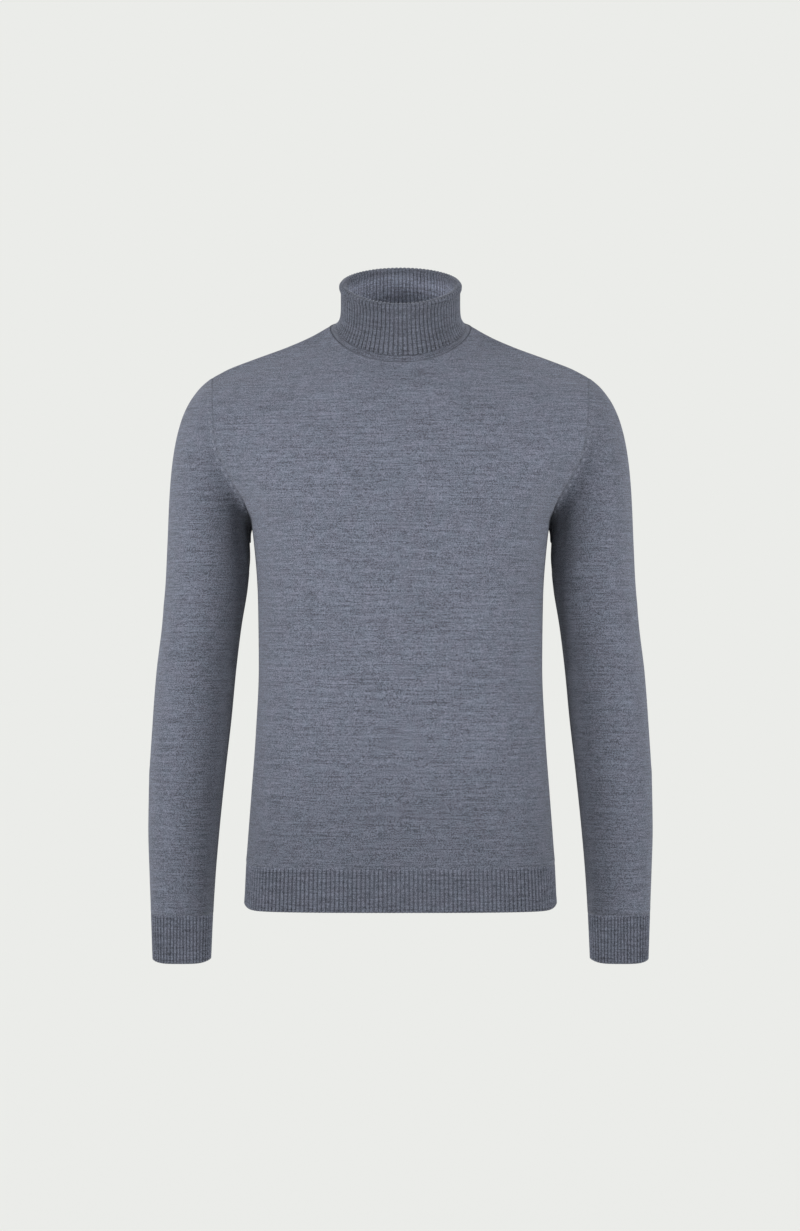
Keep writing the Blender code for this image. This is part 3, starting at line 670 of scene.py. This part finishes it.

# %% [markdown]
# ## The hem rib
#
# One-by-one rib is a row of ridges with a narrow valley between each two. From a distance only the
# valleys read, as thin dark lines, so they are modelled: the sheet itself is waved, which also gives
# the inside its ribs, and the valleys are painted darker as well, a painted shade. Each ridge takes
# eight columns of squares. A bump map would be lighter, but its edge would stay straight where the
# real hem has a small scallop for every rib.

# %% Hem rib
COLUMNS_PER_RIB = 8
HEM_RIBS = 98
HEM_DEPTH = 52.0
HEM_RELIEF = 0.75
# Painted shade: HEM_SHADE darkens the rib valleys, where little light gets in.
HEM_SHADE = 0.38
HEM_UNEVEN, HEM_WAVE = 0.12, 0.013
RIB_PITCH = 4.6
RIB_SUNK = 0.8
RIB_START = 3.0
RIB_ROUNDNESS, VALLEY_NARROWNESS = 0.8, 1.7
# Painted light: a narrow band just below the plain knit, where the ribs begin, is painted lighter.
TOP_LIGHT, TOP_LIGHT_AT, TOP_LIGHT_REACH = 0.22, 2.4, 1.4


def rib_wave(columns):
    """Height of a rib across its columns, from -1 in a sharp valley to 1 on a broad ridge."""
    return 2.0 * np.abs(np.sin(math.pi * columns / COLUMNS_PER_RIB)) ** RIB_ROUNDNESS - 1.0


def valley(columns):
    """1 in the valley between two ribs and 0 on the ridges; it places the valleys' painted shade."""
    ridge = np.abs(np.sin(math.pi * columns / COLUMNS_PER_RIB))
    return np.clip(1.0 - VALLEY_NARROWNESS * ridge, 0.0, 1.0)


def rib_map(rows, columns):
    """Across a rib map each rib is equally wide, so that its stitches sit on its ridge."""
    return np.broadcast_to(columns / COLUMNS_PER_RIB * RIB_PITCH, (len(rows), len(columns)))


def ribbed(rows, columns, closed, relief, shade, amount):
    """A form waved into ribs, and the painted shade of its valleys. Amount says where the ribs stand out.
    """
    height = relief * (rib_wave(columns)[None, :] - RIB_SUNK) * amount
    return rows + outward(rows, closed) * height[:, :, None], shade * valley(columns)[None, :] * amount


def welt(name, side, reverse):
    """One half of the hem rib. Its ribs start at the plain knit and run down to the edge."""
    shares = np.linspace(0.0, 1.0, HEM_RIBS * COLUMNS_PER_RIB + 1)
    levels = RIB_TOP_LEVEL * (1.0 - crowded(HEM_DEPTH, pitch=4.6, end=False))[::-1]
    form = panel_rows(side, levels, PANEL_STEPS * shares)
    if reverse:
        form = form[:, ::-1]
    columns = np.arange(len(shares))
    up = distance_up(form, 0)
    down = up[-1] - up
    relief = HEM_RELIEF * (1.0 + HEM_UNEVEN * np.sin(columns * HEM_WAVE + side)[None, :])
    rows, shade = ribbed(form, columns, False, relief, HEM_SHADE, eased(down, RIB_START))
    # Painted light: lighter everywhere but on the middle of each ridge, just below where the ribs start.
    off_ridge = 1.0 - valley(columns + COLUMNS_PER_RIB // 2)[None, :]
    shade -= TOP_LIGHT * off_ridge * bell(down - TOP_LIGHT_AT, TOP_LIGHT_REACH)
    return knitted(name, form, rows, rib_map(rows, columns), up, shade, RIB_WALL)


front_welt = welt("front_hem_rib", FRONT, False)
back_welt = welt("back_hem_rib", BACK, True)

# %% [markdown]
# ## Sleeves
#
# Each sleeve is one tube with a seam along the underarm. It swells beside the armhole and along
# that seam. The right sleeve is the left one mirrored, as a knitter makes the pair, and its columns
# are turned round so that it still faces outwards.

# %% Sleeves
MIRROR = np.array([-1.0, 1.0, 1.0])


def sleeve_courses(rows):
    """Where the knitted rows run on a sleeve: level, spaced as along the sleeve's outer line."""
    outer = rows[:, rows.shape[1] // 2]
    along = lengths_along(outer)
    above = np.maximum(rows[:, :, 2] - outer[0, 2], 0.0)
    return np.interp(-rows[:, :, 2], -outer[:, 2], along) - above


HOLLOW_DEPTH = 6.5
HOLLOW_REACH = 11.0
HOLLOW_Z, HOLLOW_HEIGHT = -186.0, 46.0


def underarm_hollow(rows, down):
    """How far the sleeve tucks in beside the body at the underarm, where the arm hangs down."""
    near = down / HOLLOW_REACH
    profile = near * np.exp(1.0 - near)
    return HOLLOW_DEPTH * profile * bell(rows[:1, :, 2] - HOLLOW_Z, HOLLOW_HEIGHT)


# Painted shade on the sleeves: a little all over, more on the side that faces the body, and most at the
# underarm.
ARM_SHADE, INNER_SHADE = 0.05, 0.40
PIT_SHADE, PIT_Z, PIT_REACH, PIT_FADE = 0.06, -236.0, 50.0, 58.0
FACING_FROM, FACING_RANGE = -0.5, 1.3


def inner_shade(rows):
    """Painted shade on a sleeve: a little all over, more where it faces the body and gets less light, most
    of all at the underarm.
    """
    facing = np.cos(sleeve_angle)[None, :]
    above_pit = rows[:, :, 2] - PIT_Z
    pit = PIT_SHADE * bell(above_pit, PIT_REACH)
    below = 1.0 - eased(above_pit, PIT_FADE)
    return ARM_SHADE + (INNER_SHADE + pit) * below * eased(facing - FACING_FROM, FACING_RANGE)


def sleeve(name, form, left):
    """A sleeve with a soft swell beside its armhole and its underarm seam, and painted shade where it
    faces the body.
    """
    rows = form[:, ::-1] if left else form * MIRROR
    around = lengths_along(with_last(rows), axis=1)
    down = distance_up(rows, 0)
    courses = sleeve_courses(with_last(rows))
    relief = np.maximum(seam_puff(from_edges(around)[:, :-1], height=0.3), seam_puff(down))
    relief = np.maximum(relief, seam_puff(down[-1] - down, height=0.25, near=3.0, far=9.0))
    relief -= underarm_hollow(rows, down)
    shade = np.maximum(seam_line(from_edges(around)[:, :-1]), seam_line(down, depth=0.2))
    shade += inner_shade(form)[:, ::-1] if left else inner_shade(form)
    rows = rows + outward(rows, True) * relief[:, :, None]
    return knitted(name, form, rows, around, courses, shade, PLAIN_WALL, closed=True)


sleeve_left = sleeve("left_sleeve_knit", sleeve_form, True)
sleeve_right = sleeve("right_sleeve_knit", sleeve_form, False)

# %% [markdown]
# ## Cuffs
#
# A cuff is the same rib in a smaller ring. It starts on the sleeve's last ring and its sides end a
# little higher than its middle, because the rib draws in most where it is folded flat.

# %% Cuffs
CUFF_RIBS = 52
CUFF_RELIEF = 0.7
# Painted shade in the cuff's rib valleys.
CUFF_SHADE = 0.48
ring_shares = np.linspace(0.0, 1.0, CUFF_RIBS * COLUMNS_PER_RIB, endpoint=False)


def even_angles(level):
    """Angles round a ring that are evenly spaced along the cloth."""
    dense = np.linspace(0.0, 2.0 * math.pi, 1441)
    along = lengths_along(sleeve_rings([level], dense)[0])
    return np.interp(ring_shares * along[-1], along, dense)


cuff_shares = crowded(CUFF_LENGTH, pitch=5.0, end=False)
cuff_levels = CUFF_TOP_LEVEL + (CUFF_EDGE_LEVEL - CUFF_TOP_LEVEL) * cuff_shares
cuff_angle = even_angles(CUFF_EDGE_LEVEL)
cuff_form = sleeve_rings(cuff_levels, cuff_angle)
cuff_form[:, :, 2] += cuff_shares[:, None] * CUFF_CORNER_LIFT * np.cos(cuff_angle) ** 4


def cuff(name, form, left):
    """A cuff of one-by-one rib."""
    rows = form[:, ::-1] if left else form * MIRROR
    columns = np.arange(rows.shape[1] + 1) + (1 if left else 0)
    begins = eased(distance_up(rows, 0), RIB_START)
    waved, shade = ribbed(rows, columns[:-1], True, CUFF_RELIEF, CUFF_SHADE, begins)
    along = distance_up(with_last(rows), 0)
    return knitted(name, form, waved, rib_map(rows, columns), along, shade, RIB_WALL, closed=True)


cuff_left = cuff("left_cuff_rib", cuff_form, True)
cuff_right = cuff("right_cuff_rib", cuff_form, False)

# %% [markdown]
# ## The roll collar
#
# The collar is one tube of rib, twice as long as it looks. It stands up from the neckline, rolls
# over at the top and comes down outside itself. The sheet below follows the middle of that wall all
# the way, so the fold is a real one, with air inside it. The roll is stretched, which flattens its
# ribs. At the foot there is a narrow plain band, where the collar is linked to the body.

# %% Collar form
COLLAR_WALL = 2.4
COLLAR_BASE_Y, COLLAR_BASE_Z = 1.0, -15.0
COLLAR_TOP_Y, COLLAR_TOP_Z = -23.0, 45.6
COLLAR_HALF_WIDTH = 66.4
COLLAR_HALF_DEPTH = 63.0
COLLAR_TILT = 23.5
FLARE_SIDE, FLARE_MIDDLE = 6.0, 2.4
LAYER_STEP = 2.9
FRONT_DIP = 4.6
TURN_DOWN_END = 0.095
TUCK_IN = 1.3
TUCK_HEIGHT = 0.12
ROLL = (  # each row: how far below the top, and how far out from the stand
    (11.0, 0.0),
    (7.2, -0.9),
    (3.9, -1.7),
    (1.1, -0.6),
    (0.2, 1.7),
    (1.1, 4.0),
    (3.9, 5.2),
    (7.2, 4.2),
    (11.0, LAYER_STEP),
)
STAND_LEVELS = (0.0, 0.03, 0.06, 0.10, 0.14, 0.20, 0.26, 0.35, 0.44, 0.54, 0.64, 0.74)
TURNED_LEVELS = (0.74, 0.64, 0.54, 0.44, 0.35, 0.26, 0.20, 0.16, 0.125, TURN_DOWN_END)
COLLAR_RIBS = 90
collar_angle = np.linspace(0.0, 2.0 * math.pi, COLLAR_RIBS * COLUMNS_PER_RIB, endpoint=False)
neck_shares = np.linspace(0.0, 1.0, len(collar_angle) // 2 + 1)
collar_foot = np.concatenate([neckline(FRONT, neck_shares)[:-1], neckline(BACK, neck_shares)[:0:-1]])


def collar_tube(height):
    """The neck tube, whose foot opens out to the neckline. Height is 0 there and 1 at the top."""
    tilt = math.radians(COLLAR_TILT)
    across = -COLLAR_HALF_WIDTH * np.cos(collar_angle)
    deep = -COLLAR_HALF_DEPTH * np.sin(collar_angle)

    def ring(share):
        y = COLLAR_BASE_Y + share * (COLLAR_TOP_Y - COLLAR_BASE_Y)
        z = COLLAR_BASE_Z + share * (COLLAR_TOP_Z - COLLAR_BASE_Z)
        z = z - share * FRONT_DIP * np.clip(np.sin(collar_angle), 0.0, 1.0) ** 2
        return np.stack([across, y + deep * math.cos(tilt), z + deep * math.sin(tilt)], axis=1)

    power = FLARE_MIDDLE + (FLARE_SIDE - FLARE_MIDDLE) * np.cos(collar_angle) ** 2
    flare = (1.0 - min(height, 1.0)) ** power
    return ring(height) + flare[:, None] * (collar_foot - ring(0.0))


def collar_frame(height):
    """Points of the tube at one height, with their outward and upward directions."""
    here = collar_tube(height)
    step = 0.004
    rise = collar_tube(height + step) - collar_tube(height - step)
    up = unit(rise)
    around = np.roll(here, -1, axis=0) - np.roll(here, 1, axis=0)
    return here, unit(np.cross(around, up)), up


def collar_path():
    """The middle of the collar's wall, ring by ring: up the stand, over the roll, down outside."""
    half = COLLAR_WALL / 2
    rings = []
    for height in STAND_LEVELS:
        here, out, _ = collar_frame(height)
        rings.append(here - out * half)
    top, out, up = collar_frame(1.0)
    for below, aside in ROLL:
        rings.append(top - up * below + out * (aside - half))
    for height in TURNED_LEVELS:
        here, out, _ = collar_frame(height)
        tuck = TUCK_IN * (1.0 - eased(height - TURN_DOWN_END, TUCK_HEIGHT))
        rings.append(here + out * (LAYER_STEP - half - tuck))
    return np.array(rings)


coarse_path = collar_path()
path_length = lengths_along(coarse_path[:, len(collar_angle) // 4])
path_places = np.interp(
    path_length[-1] * crowded(path_length[-1], pitch=2.9), path_length, np.arange(len(path_length)),
)
collar_form = smooth(coarse_path, path_places)
print("collar path", round(path_length[-1], 1), "mm long,", collar_form.shape[0], "rings")

# %% Collar
COLLAR_RELIEF = 0.78
# Painted shade in the collar's rib valleys.
COLLAR_SHADE = 0.88
COLLAR_CLOTH = 1.2
FOOT_BAND, FOOT_FADE = 7.0, 4.0
# Painted light: the inside of the collar, between its foot band and the roll, is painted up to 2.35 times
# as bright.
INSIDE_PAINTED_LIGHT, INSIDE_FADE, INSIDE_FOOT_FADE = 1.35, 16.0, 10.0
# Painted shade on the roll, and deeper painted shade in the valleys at the turned edge.
ROLL_SHARE, ROLL_SHADE, ROLL_REACH = 0.6, 0.12, 6.0
EDGE_SWELL, EDGE_SHADE, EDGE_REACH = 0.3, 0.4, 2.2
roll_top = path_length[len(STAND_LEVELS) + len(ROLL) // 2]
collar_along = distance_up(collar_form, 0)
to_end = collar_along[-1] - collar_along
roll_row = int(np.argmin(np.abs(collar_along[:, len(collar_angle) // 4] - roll_top)))
to_roll = collar_along[roll_row][None, :] - collar_along
on_roll = bell(to_roll, ROLL_REACH)
rib_share = (1.0 - (1.0 - ROLL_SHARE) * on_roll) * eased(collar_along - FOOT_BAND, FOOT_FADE)
at_edge = bell(to_end, EDGE_REACH)
collar_columns = np.arange(len(collar_angle) + 1)
collar_relief = COLLAR_RELIEF * rib_share * (1.0 + EDGE_SWELL * at_edge) * rib_wave(collar_columns[:-1])
ribbed_collar = collar_form - outward(collar_form, True) * collar_relief[:, :, None]
# The collar's painted shade: valleys, turned edge and roll; inside, painted light makes it lighter.
collar_shade = COLLAR_SHADE * rib_share * (1.0 + EDGE_SHADE * at_edge) * valley(collar_columns[:-1])
inside = eased(to_roll, INSIDE_FADE) * eased(collar_along - FOOT_BAND, INSIDE_FOOT_FADE)
collar_shade = 1.0 - (1.0 - collar_shade - ROLL_SHADE * on_roll) * (1.0 + INSIDE_PAINTED_LIGHT * inside)
collar_shade += seam_line(collar_along)
collar = knitted(
    "collar_rib", collar_form, ribbed_collar, rib_map(collar_form, collar_columns),
    distance_up(with_last(collar_form), 0), collar_shade, COLLAR_CLOTH, closed=True, offset=0.0,
)
print("ribs:", HEM_RIBS, "on each half of the hem,", CUFF_RIBS, "on a cuff,", COLLAR_RIBS, "on the collar")

# %% [markdown]
# ## Fashioning marks
#
# The sleeve head is shaped while it is knitted: every few rows a stitch is moved inwards, and each
# move leaves a small slanted stitch beside the armhole. They are the sign of a fully fashioned
# sweater. Each mark is a pair of short plump strands laid on the sleeve, made from a small sphere
# that is stretched along its stitch.

# %% Fashioning marks
MARK_ROWS = (8, 11, 13, 16, 18, 21, 23, 26, 29, 31, 34, 37, 40, 43)
MARK_INSET = 4.6
MARK_LENGTH, MARK_WIDTH, MARK_HEIGHT, MARK_RAISED = 4.2, 1.7, 1.0, 0.35
STRANDS = ((0.55, -0.75), (0.35, 0.75))  # how much each leans, and how far it is shifted inwards


def fashioning_marks(name, left):
    """Small slanted stitches beside the armhole, front and back."""
    rows = sleeve_form if left else sleeve_form * MIRROR
    down = distance_up(rows, 0)
    out = outward(rows[:, ::-1], True)[:, ::-1] if left else outward(rows, True)
    work = bmesh.new()
    count = rows.shape[1]
    for k in MARK_ROWS:
        for column in (k + len(CLOSE_STEPS), count - k - len(CLOSE_STEPS)):
            i = int(np.argmin(np.abs(down[:, column] - MARK_INSET)))
            along = unit(rows[i, column + 1] - rows[i, column - 1])
            inwards = unit(rows[i + 1, column] - rows[i - 1, column])
            normal = out[i, column]
            for lean, shift in STRANDS:
                way = unit(along + lean * inwards)
                frame_axes = np.eye(4)
                frame_axes[:3, 0] = way * MARK_LENGTH / 2 * MM
                frame_axes[:3, 1] = np.cross(normal, way) * MARK_WIDTH / 2 * MM
                frame_axes[:3, 2] = normal * MARK_HEIGHT / 2 * MM
                frame_axes[:3, 3] = (rows[i, column] + inwards * shift + normal * MARK_RAISED) * MM
                made = bmesh.ops.create_uvsphere(work, u_segments=8, v_segments=6, radius=1.0)
                bmesh.ops.transform(work, matrix=Matrix(frame_axes.tolist()), verts=made["verts"])
    bmesh.ops.recalc_face_normals(work, faces=work.faces)
    mesh = to_mesh(name, work)
    mesh.shade_smooth()
    print(name, len(MARK_ROWS) * 4, "strands")
    return in_scene(name, mesh)


marks_left = fashioning_marks("left_fashioning_marks", True)
marks_right = fashioning_marks("right_fashioning_marks", False)

# %% [markdown]
# ## The yarn
#
# Melange yarn is spun from fibres dyed before spinning, so no two stitches have quite the same
# colour. Up close it is a fine speckle, and along each row it makes short lighter and darker
# streaks where one colour of fibre runs on. Four noises give the speckle, the streaks, a slow drift
# of tone and a faint cloud, a fifth turns the hue a little, and a light sheen is the wool's nap.

# %% Node helpers


class Graph:
    """A short way to add nodes to a material and join them."""

    def __init__(self, name):
        self.material = bpy.data.materials.new(name)
        self.material.use_nodes = True
        self.tree = self.material.node_tree
        self.shader = self.tree.nodes["Principled BSDF"]

    def join(self, value, socket):
        """Links a socket, or writes a plain value."""
        if isinstance(value, bpy.types.NodeSocket):
            self.tree.links.new(value, socket)
        else:
            socket.default_value = value

    def set_shader(self, **values):
        """Sets sockets of the shader, named with _ for each space."""
        for name, value in values.items():
            self.shader.inputs[name.replace("_", " ")].default_value = value

    def add(self, kind, sockets, output=0, **settings):
        """Adds a node, fills the sockets that are named or numbered, and gives one of its outputs."""
        node = self.tree.nodes.new("ShaderNode" + kind)
        for name, value in settings.items():
            setattr(node, name, value)
        for socket, value in sockets.items():
            self.join(value, node.inputs[socket])
        return node.outputs[output]

    def math(self, operation, a, b=0.0, c=0.0):
        return self.add("Math", {0: a, 1: b, 2: c}, operation=operation)

    def combine(self, x, y, z=0.0):
        return self.add("CombineXYZ", {0: x, 1: y, 2: z})

    def noise(self, vector, scale, detail=1.0, roughness=0.5):
        sockets = {"Vector": vector, "Scale": scale, "Detail": detail, "Roughness": roughness}
        return self.add("TexNoise", sockets)

    def ranged(self, value, low, high, to_low=0.0, to_high=1.0):
        return self.add("MapRange", {0: value, 1: low, 2: high, 3: to_low, 4: to_high}, clamp=True)

    def blend(self, share, a, b, way="MIX"):
        return self.add("Mix", {0: share, 6: a, 7: b}, output=2, data_type="RGBA", blend_type=way)

    def times(self, a, b):
        """The product of two colours."""
        return self.blend(1.0, a, b, way="MULTIPLY")

    def bump(self, height, distance, strength=1.0):
        sockets = {"Height": height, "Distance": distance, "Strength": strength}
        self.join(self.add("Bump", sockets), self.shader.inputs["Normal"])


def linear(*channels):
    """A colour given as it looks on a screen, from 0 to 255, turned into linear light."""
    shares = [c / 255 for c in channels]
    return tuple(c / 12.92 if c <= 0.04 else ((c + 0.055) / 1.055) ** 2.4 for c in shares) + (1.0,)


# %% Knit materials
STITCH_WIDTH, STITCH_HEIGHT = 1.5, 1.2
RIB_STITCH_HEIGHT = 1.7
SPECKLE_SIZE, CLOUD_SIZE, HUE_SIZE = 1.1, 45.0, 14.0
STREAK_SIZE, DRIFT_SIZE = (14.0, 1.2), (60.0, 2.4)
YARN_WEIGHTS = (2.9, 1.1, 0.85, 0.12)  # of the speckle, the streaks, the drift and the cloud
PLAIN_DEPTH, RIB_DEPTH = 0.28, 0.45
# The rib copies of the yarn are darker than the plain knit: partly the rib's own darker look, partly
# painted shade for its shadowed valleys. The collar's copy is painted darker still, to offset the lamp
# that lights only the collar.
RIB_LEVEL, COLLAR_LEVEL = 0.84, 0.56
WOOL = {"Roughness": 0.92, "Sheen Weight": 0.35}
YARN = linear(99, 103, 116)
DARK_SHARE, LIGHT_SHARE = 0.43, 1.58
TEAL_TINT = (0.985, 1.006, 1.003, 1.0)
VIOLET_TINT = (1.015, 0.994, 0.997, 1.0)


def yarn(graph, u, v, shade, level=1.0):
    """The yarn's colour and its fine unevenness at a place on the cloth."""
    place = graph.add("TexCoord", {}, output="Object")

    def along_rows(size, layer):
        """A noise on the cloth's own map, with grains of the given length and height."""
        across, up = (graph.math("DIVIDE", way, length * MM) for way, length in zip((u, v), size))
        return graph.noise(graph.combine(across, up, layer), 1.0)

    speckle = graph.noise(place, 1.0 / (SPECKLE_SIZE * MM), roughness=0.6)
    streak = along_rows(STREAK_SIZE, 0.0)
    drift = along_rows(DRIFT_SIZE, 5.0)
    cloud = graph.noise(place, 1.0 / (CLOUD_SIZE * MM), detail=2.0)
    tone = 0.5
    for unevenness, weight in zip((speckle, streak, drift, cloud), YARN_WEIGHTS):
        tone = graph.math("MULTIPLY_ADD", graph.math("SUBTRACT", unevenness, 0.5), weight, tone)
    bright = graph.ranged(tone, 0.0, 1.0, DARK_SHARE * level, LIGHT_SHARE * level)
    # The shade attribute darkens or lightens the yarn here: seam lines, plus painted shade and painted
    # light.
    bright = graph.math("MULTIPLY", bright, graph.math("SUBTRACT", 1.0, shade))
    hue = graph.noise(place, 1.0 / (HUE_SIZE * MM), detail=2.0)
    tint = graph.blend(graph.ranged(hue, 0.35, 0.65), TEAL_TINT, VIOLET_TINT)
    grey = graph.combine(bright, bright, bright)
    return graph.times(graph.times(YARN, tint), grey), speckle


def stitches(graph, u, v, width, height):
    """Height of plain stitches: each is a V, made of two legs that lean together."""
    across = graph.math("FRACT", graph.math("DIVIDE", u, width * MM))
    middle = graph.math("ABSOLUTE", graph.math("MULTIPLY_ADD", across, 2.0, -1.0))
    along = graph.math("MULTIPLY_ADD", middle, 0.5, graph.math("DIVIDE", v, height * MM))
    loop = graph.math("SINE", graph.math("MULTIPLY", graph.math("FRACT", along), math.pi))
    leg = graph.math("MULTIPLY_ADD", middle, 2.0, -1.0)
    leg = graph.math("SUBTRACT", 1.0, graph.math("MULTIPLY", leg, leg))
    return graph.math("MULTIPLY", leg, loop)


def knit_material(name, width, height, depth, level=1.0):
    """Wool knit with its yarn colours, stitches and nap."""
    graph = Graph(name)
    uv_map = graph.add("UVMap", {}, uv_map="UVMap")
    u, v = graph.add("SeparateXYZ", {0: uv_map}).node.outputs[:2]
    shade = graph.add("Attribute", {}, output="Fac", attribute_name="shade")
    colour, speckle = yarn(graph, u, v, shade, level)
    graph.join(colour, graph.shader.inputs["Base Color"])
    relief = graph.math("MULTIPLY_ADD", speckle, 0.9, stitches(graph, u, v, width, height))
    graph.bump(relief, depth * MM, strength=0.8)
    graph.set_shader(Specular_IOR_Level=0.2, Sheen_Roughness=0.5, Sheen_Tint=linear(205, 210, 222), **WOOL)
    return graph.material


plain_knit = knit_material("melange plain knit", STITCH_WIDTH, STITCH_HEIGHT, PLAIN_DEPTH)
rib_knit, collar_knit = (
    knit_material(name, RIB_PITCH, RIB_STITCH_HEIGHT, RIB_DEPTH, level)
    for name, level in (("melange rib knit", RIB_LEVEL), ("melange collar rib", COLLAR_LEVEL))
)


def single_yarn():
    """The yarn on its own, for the small raised stitches, which have no cloth map. It is mottled up to 1.3
    times lighter than the yarn, painted light for stitches that stand up into the light.
    """
    graph = Graph("melange single stitch")
    place = graph.add("TexCoord", {}, output="Object")
    tone = graph.noise(place, 1.0 / (1.4 * MM), detail=2.0, roughness=0.6)
    # Painted light: the lighter side of the mottle, for raised stitches catching light; the mottle itself
    # is the yarn's own.
    light = tuple(1.3 * channel for channel in YARN[:3]) + (1.0,)
    graph.join(graph.blend(graph.ranged(tone, 0.2, 0.6), YARN, light), graph.shader.inputs["Base Color"])
    graph.bump(tone, 0.2 * MM)
    graph.set_shader(**WOOL)
    return graph.material


single_stitch = single_yarn()
for pieces, finish in (
    ((front_panel, back_panel, sleeve_left, sleeve_right), plain_knit),
    ((front_welt, back_welt, cuff_left, cuff_right), rib_knit),
    ((collar,), collar_knit),
    ((marks_left, marks_right), single_stitch),
):
    for piece in pieces:
        piece.data.materials.append(finish)
print("materials:", ", ".join(m.name for m in bpy.data.materials if m.name.startswith("melange")))

# %% [markdown]
# ## Stage, light and camera
#
# The sweater is lit by a wide even sky, as in a white studio, with a soft lamp on each side that
# gives the chest and sleeves their shape, and a weaker one in front that reaches into the collar.
# The floor is a plain pale disc with its own light, so that it has the tone of the sky. The camera
# stands straight in front, level with the middle of the sweater.

# %% Stage
FLOOR_Z = -1.7
FLOOR_RADIUS = 40.0
FLOOR_ALBEDO = 0.88
SKY_STRENGTH = 0.5
PALE = linear(235, 236, 233)

stage = bmesh.new()
bmesh.ops.create_circle(stage, cap_ends=True, radius=FLOOR_RADIUS, segments=64)
bmesh.ops.translate(stage, vec=(0.0, 0.0, FLOOR_Z), verts=stage.verts)
floor = in_scene("floor", to_mesh("floor", stage))
floor_finish = Graph("pale floor")
floor_colour = tuple(FLOOR_ALBEDO * c / max(PALE[:3]) for c in PALE[:3]) + (1.0,)
floor_finish.set_shader(Base_Color=floor_colour, Roughness=1.0, Specular_IOR_Level=0.0)
floor.data.materials.append(floor_finish.material)

# %% Light
world = bpy.data.worlds.new("studio")
bpy.context.scene.world = world
world.use_nodes = True
sky = world.node_tree
sky.nodes.clear()
out = sky.nodes.new("ShaderNodeOutputWorld")
mix = sky.nodes.new("ShaderNodeMixShader")
rays = sky.nodes.new("ShaderNodeLightPath")
sky.links.new(rays.outputs["Is Camera Ray"], mix.inputs[0])
for socket, colour, strength in ((1, (1.0, 1.0, 1.0, 1.0), SKY_STRENGTH), (2, PALE, 1.0)):
    even = sky.nodes.new("ShaderNodeBackground")
    even.inputs[0].default_value = colour
    even.inputs[1].default_value = strength
    sky.links.new(even.outputs[0], mix.inputs[socket])
sky.links.new(mix.outputs[0], out.inputs[0])


def soft_lamp(name, place, target, size, power, spread):
    """A large square lamp that faces a target and lights a cone of so many degrees."""
    data = bpy.data.lights.new(name, "AREA")
    data.size = size
    data.energy = power
    data.spread = math.radians(spread)
    lamp = in_scene(name, data)
    lamp.location = place
    lamp.rotation_euler = (Vector(target) - Vector(place)).to_track_quat("-Z", "Y").to_euler()
    return lamp


key = soft_lamp("key", (-2.3, -1.7, 0.1), (-0.05, 0.0, -0.2), 0.8, 7.0, 60.0)
fill = soft_lamp("fill", (2.3, -1.7, 0.1), (0.0, 0.0, -0.2), 0.8, 5.4, 60.0)


def only_light(lamp, pieces):
    """Makes a lamp light these pieces and nothing else, as flags and shutters do in a studio."""
    lit = bpy.data.collections.new("lit by " + lamp.name)
    for piece in pieces:
        lit.objects.link(piece)
    lamp.light_linking.receiver_collection = lit


shown = bpy.context.scene.collection.objects
clothes = [piece for piece in shown if piece.type == "MESH" and piece != floor]
into_collar = soft_lamp("into the collar", (0.0, -2.6, 0.75), (0.0, 0.0, 0.03), 0.6, 2.4, 50.0)
only_light(key, clothes)
only_light(fill, clothes)
only_light(into_collar, [collar])
overhead = in_scene("overhead", bpy.data.lights.new("overhead", "SUN"))
overhead.data.energy = math.pi * (max(PALE[:3]) / FLOOR_ALBEDO - SKY_STRENGTH)
overhead.data.angle = math.radians(20.0)
overhead.data.use_shadow = False
only_light(overhead, [floor])

# %% Camera
EYE_DISTANCE = 3.2
EYE_HEIGHT = -0.340
EYE_ASIDE = -0.0006
SEEN_HEIGHT = 1.440
SENSOR = 36.0

eye = bpy.data.cameras.new("camera")
eye.sensor_width = SENSOR
eye.lens = SENSOR * EYE_DISTANCE / SEEN_HEIGHT
camera = in_scene("camera", eye)
camera.location = (EYE_ASIDE, -EYE_DISTANCE, EYE_HEIGHT)
camera.rotation_euler = (math.radians(90.0), 0.0, 0.0)
bpy.context.scene.camera = camera
bpy.context.scene.view_settings.view_transform = "Standard"
print("lens", round(eye.lens, 2), "mm at", EYE_DISTANCE, "m")

# %% [markdown]
# ## Each piece on the body
#
# Every piece rides on the one body and stands for its solid, which is hidden.

PIECES = (
    (front_panel, "front_panel", "plain_knit", (0.475, 0.635), 0.268),
    (back_panel, "back_panel", "plain_knit", (0.475, 0.655), 0.272),
    (front_welt, "front_welt", "rib_knit", (0.478, 0.055), 0.0258),
    (back_welt, "back_welt", "rib_knit", (0.478, 0.055), 0.0258),
    (sleeve_left, "sleeve_left", "plain_knit", (0.400, 0.660), 0.168),
    (sleeve_right, "sleeve_right", "plain_knit", (0.400, 0.660), 0.168),
    (cuff_left, "cuff_left", "rib_knit", (0.220, 0.057), 0.0119),
    (cuff_right, "cuff_right", "rib_knit", (0.220, 0.057), 0.0119),
    (collar, "collar", "rib_knit", (0.470, 0.145), 0.060),
)
for piece, node, finish, flat, area in PIECES:
    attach(piece, BODY)
    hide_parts(node)
for piece in (marks_left, marks_right):
    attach(piece, BODY)
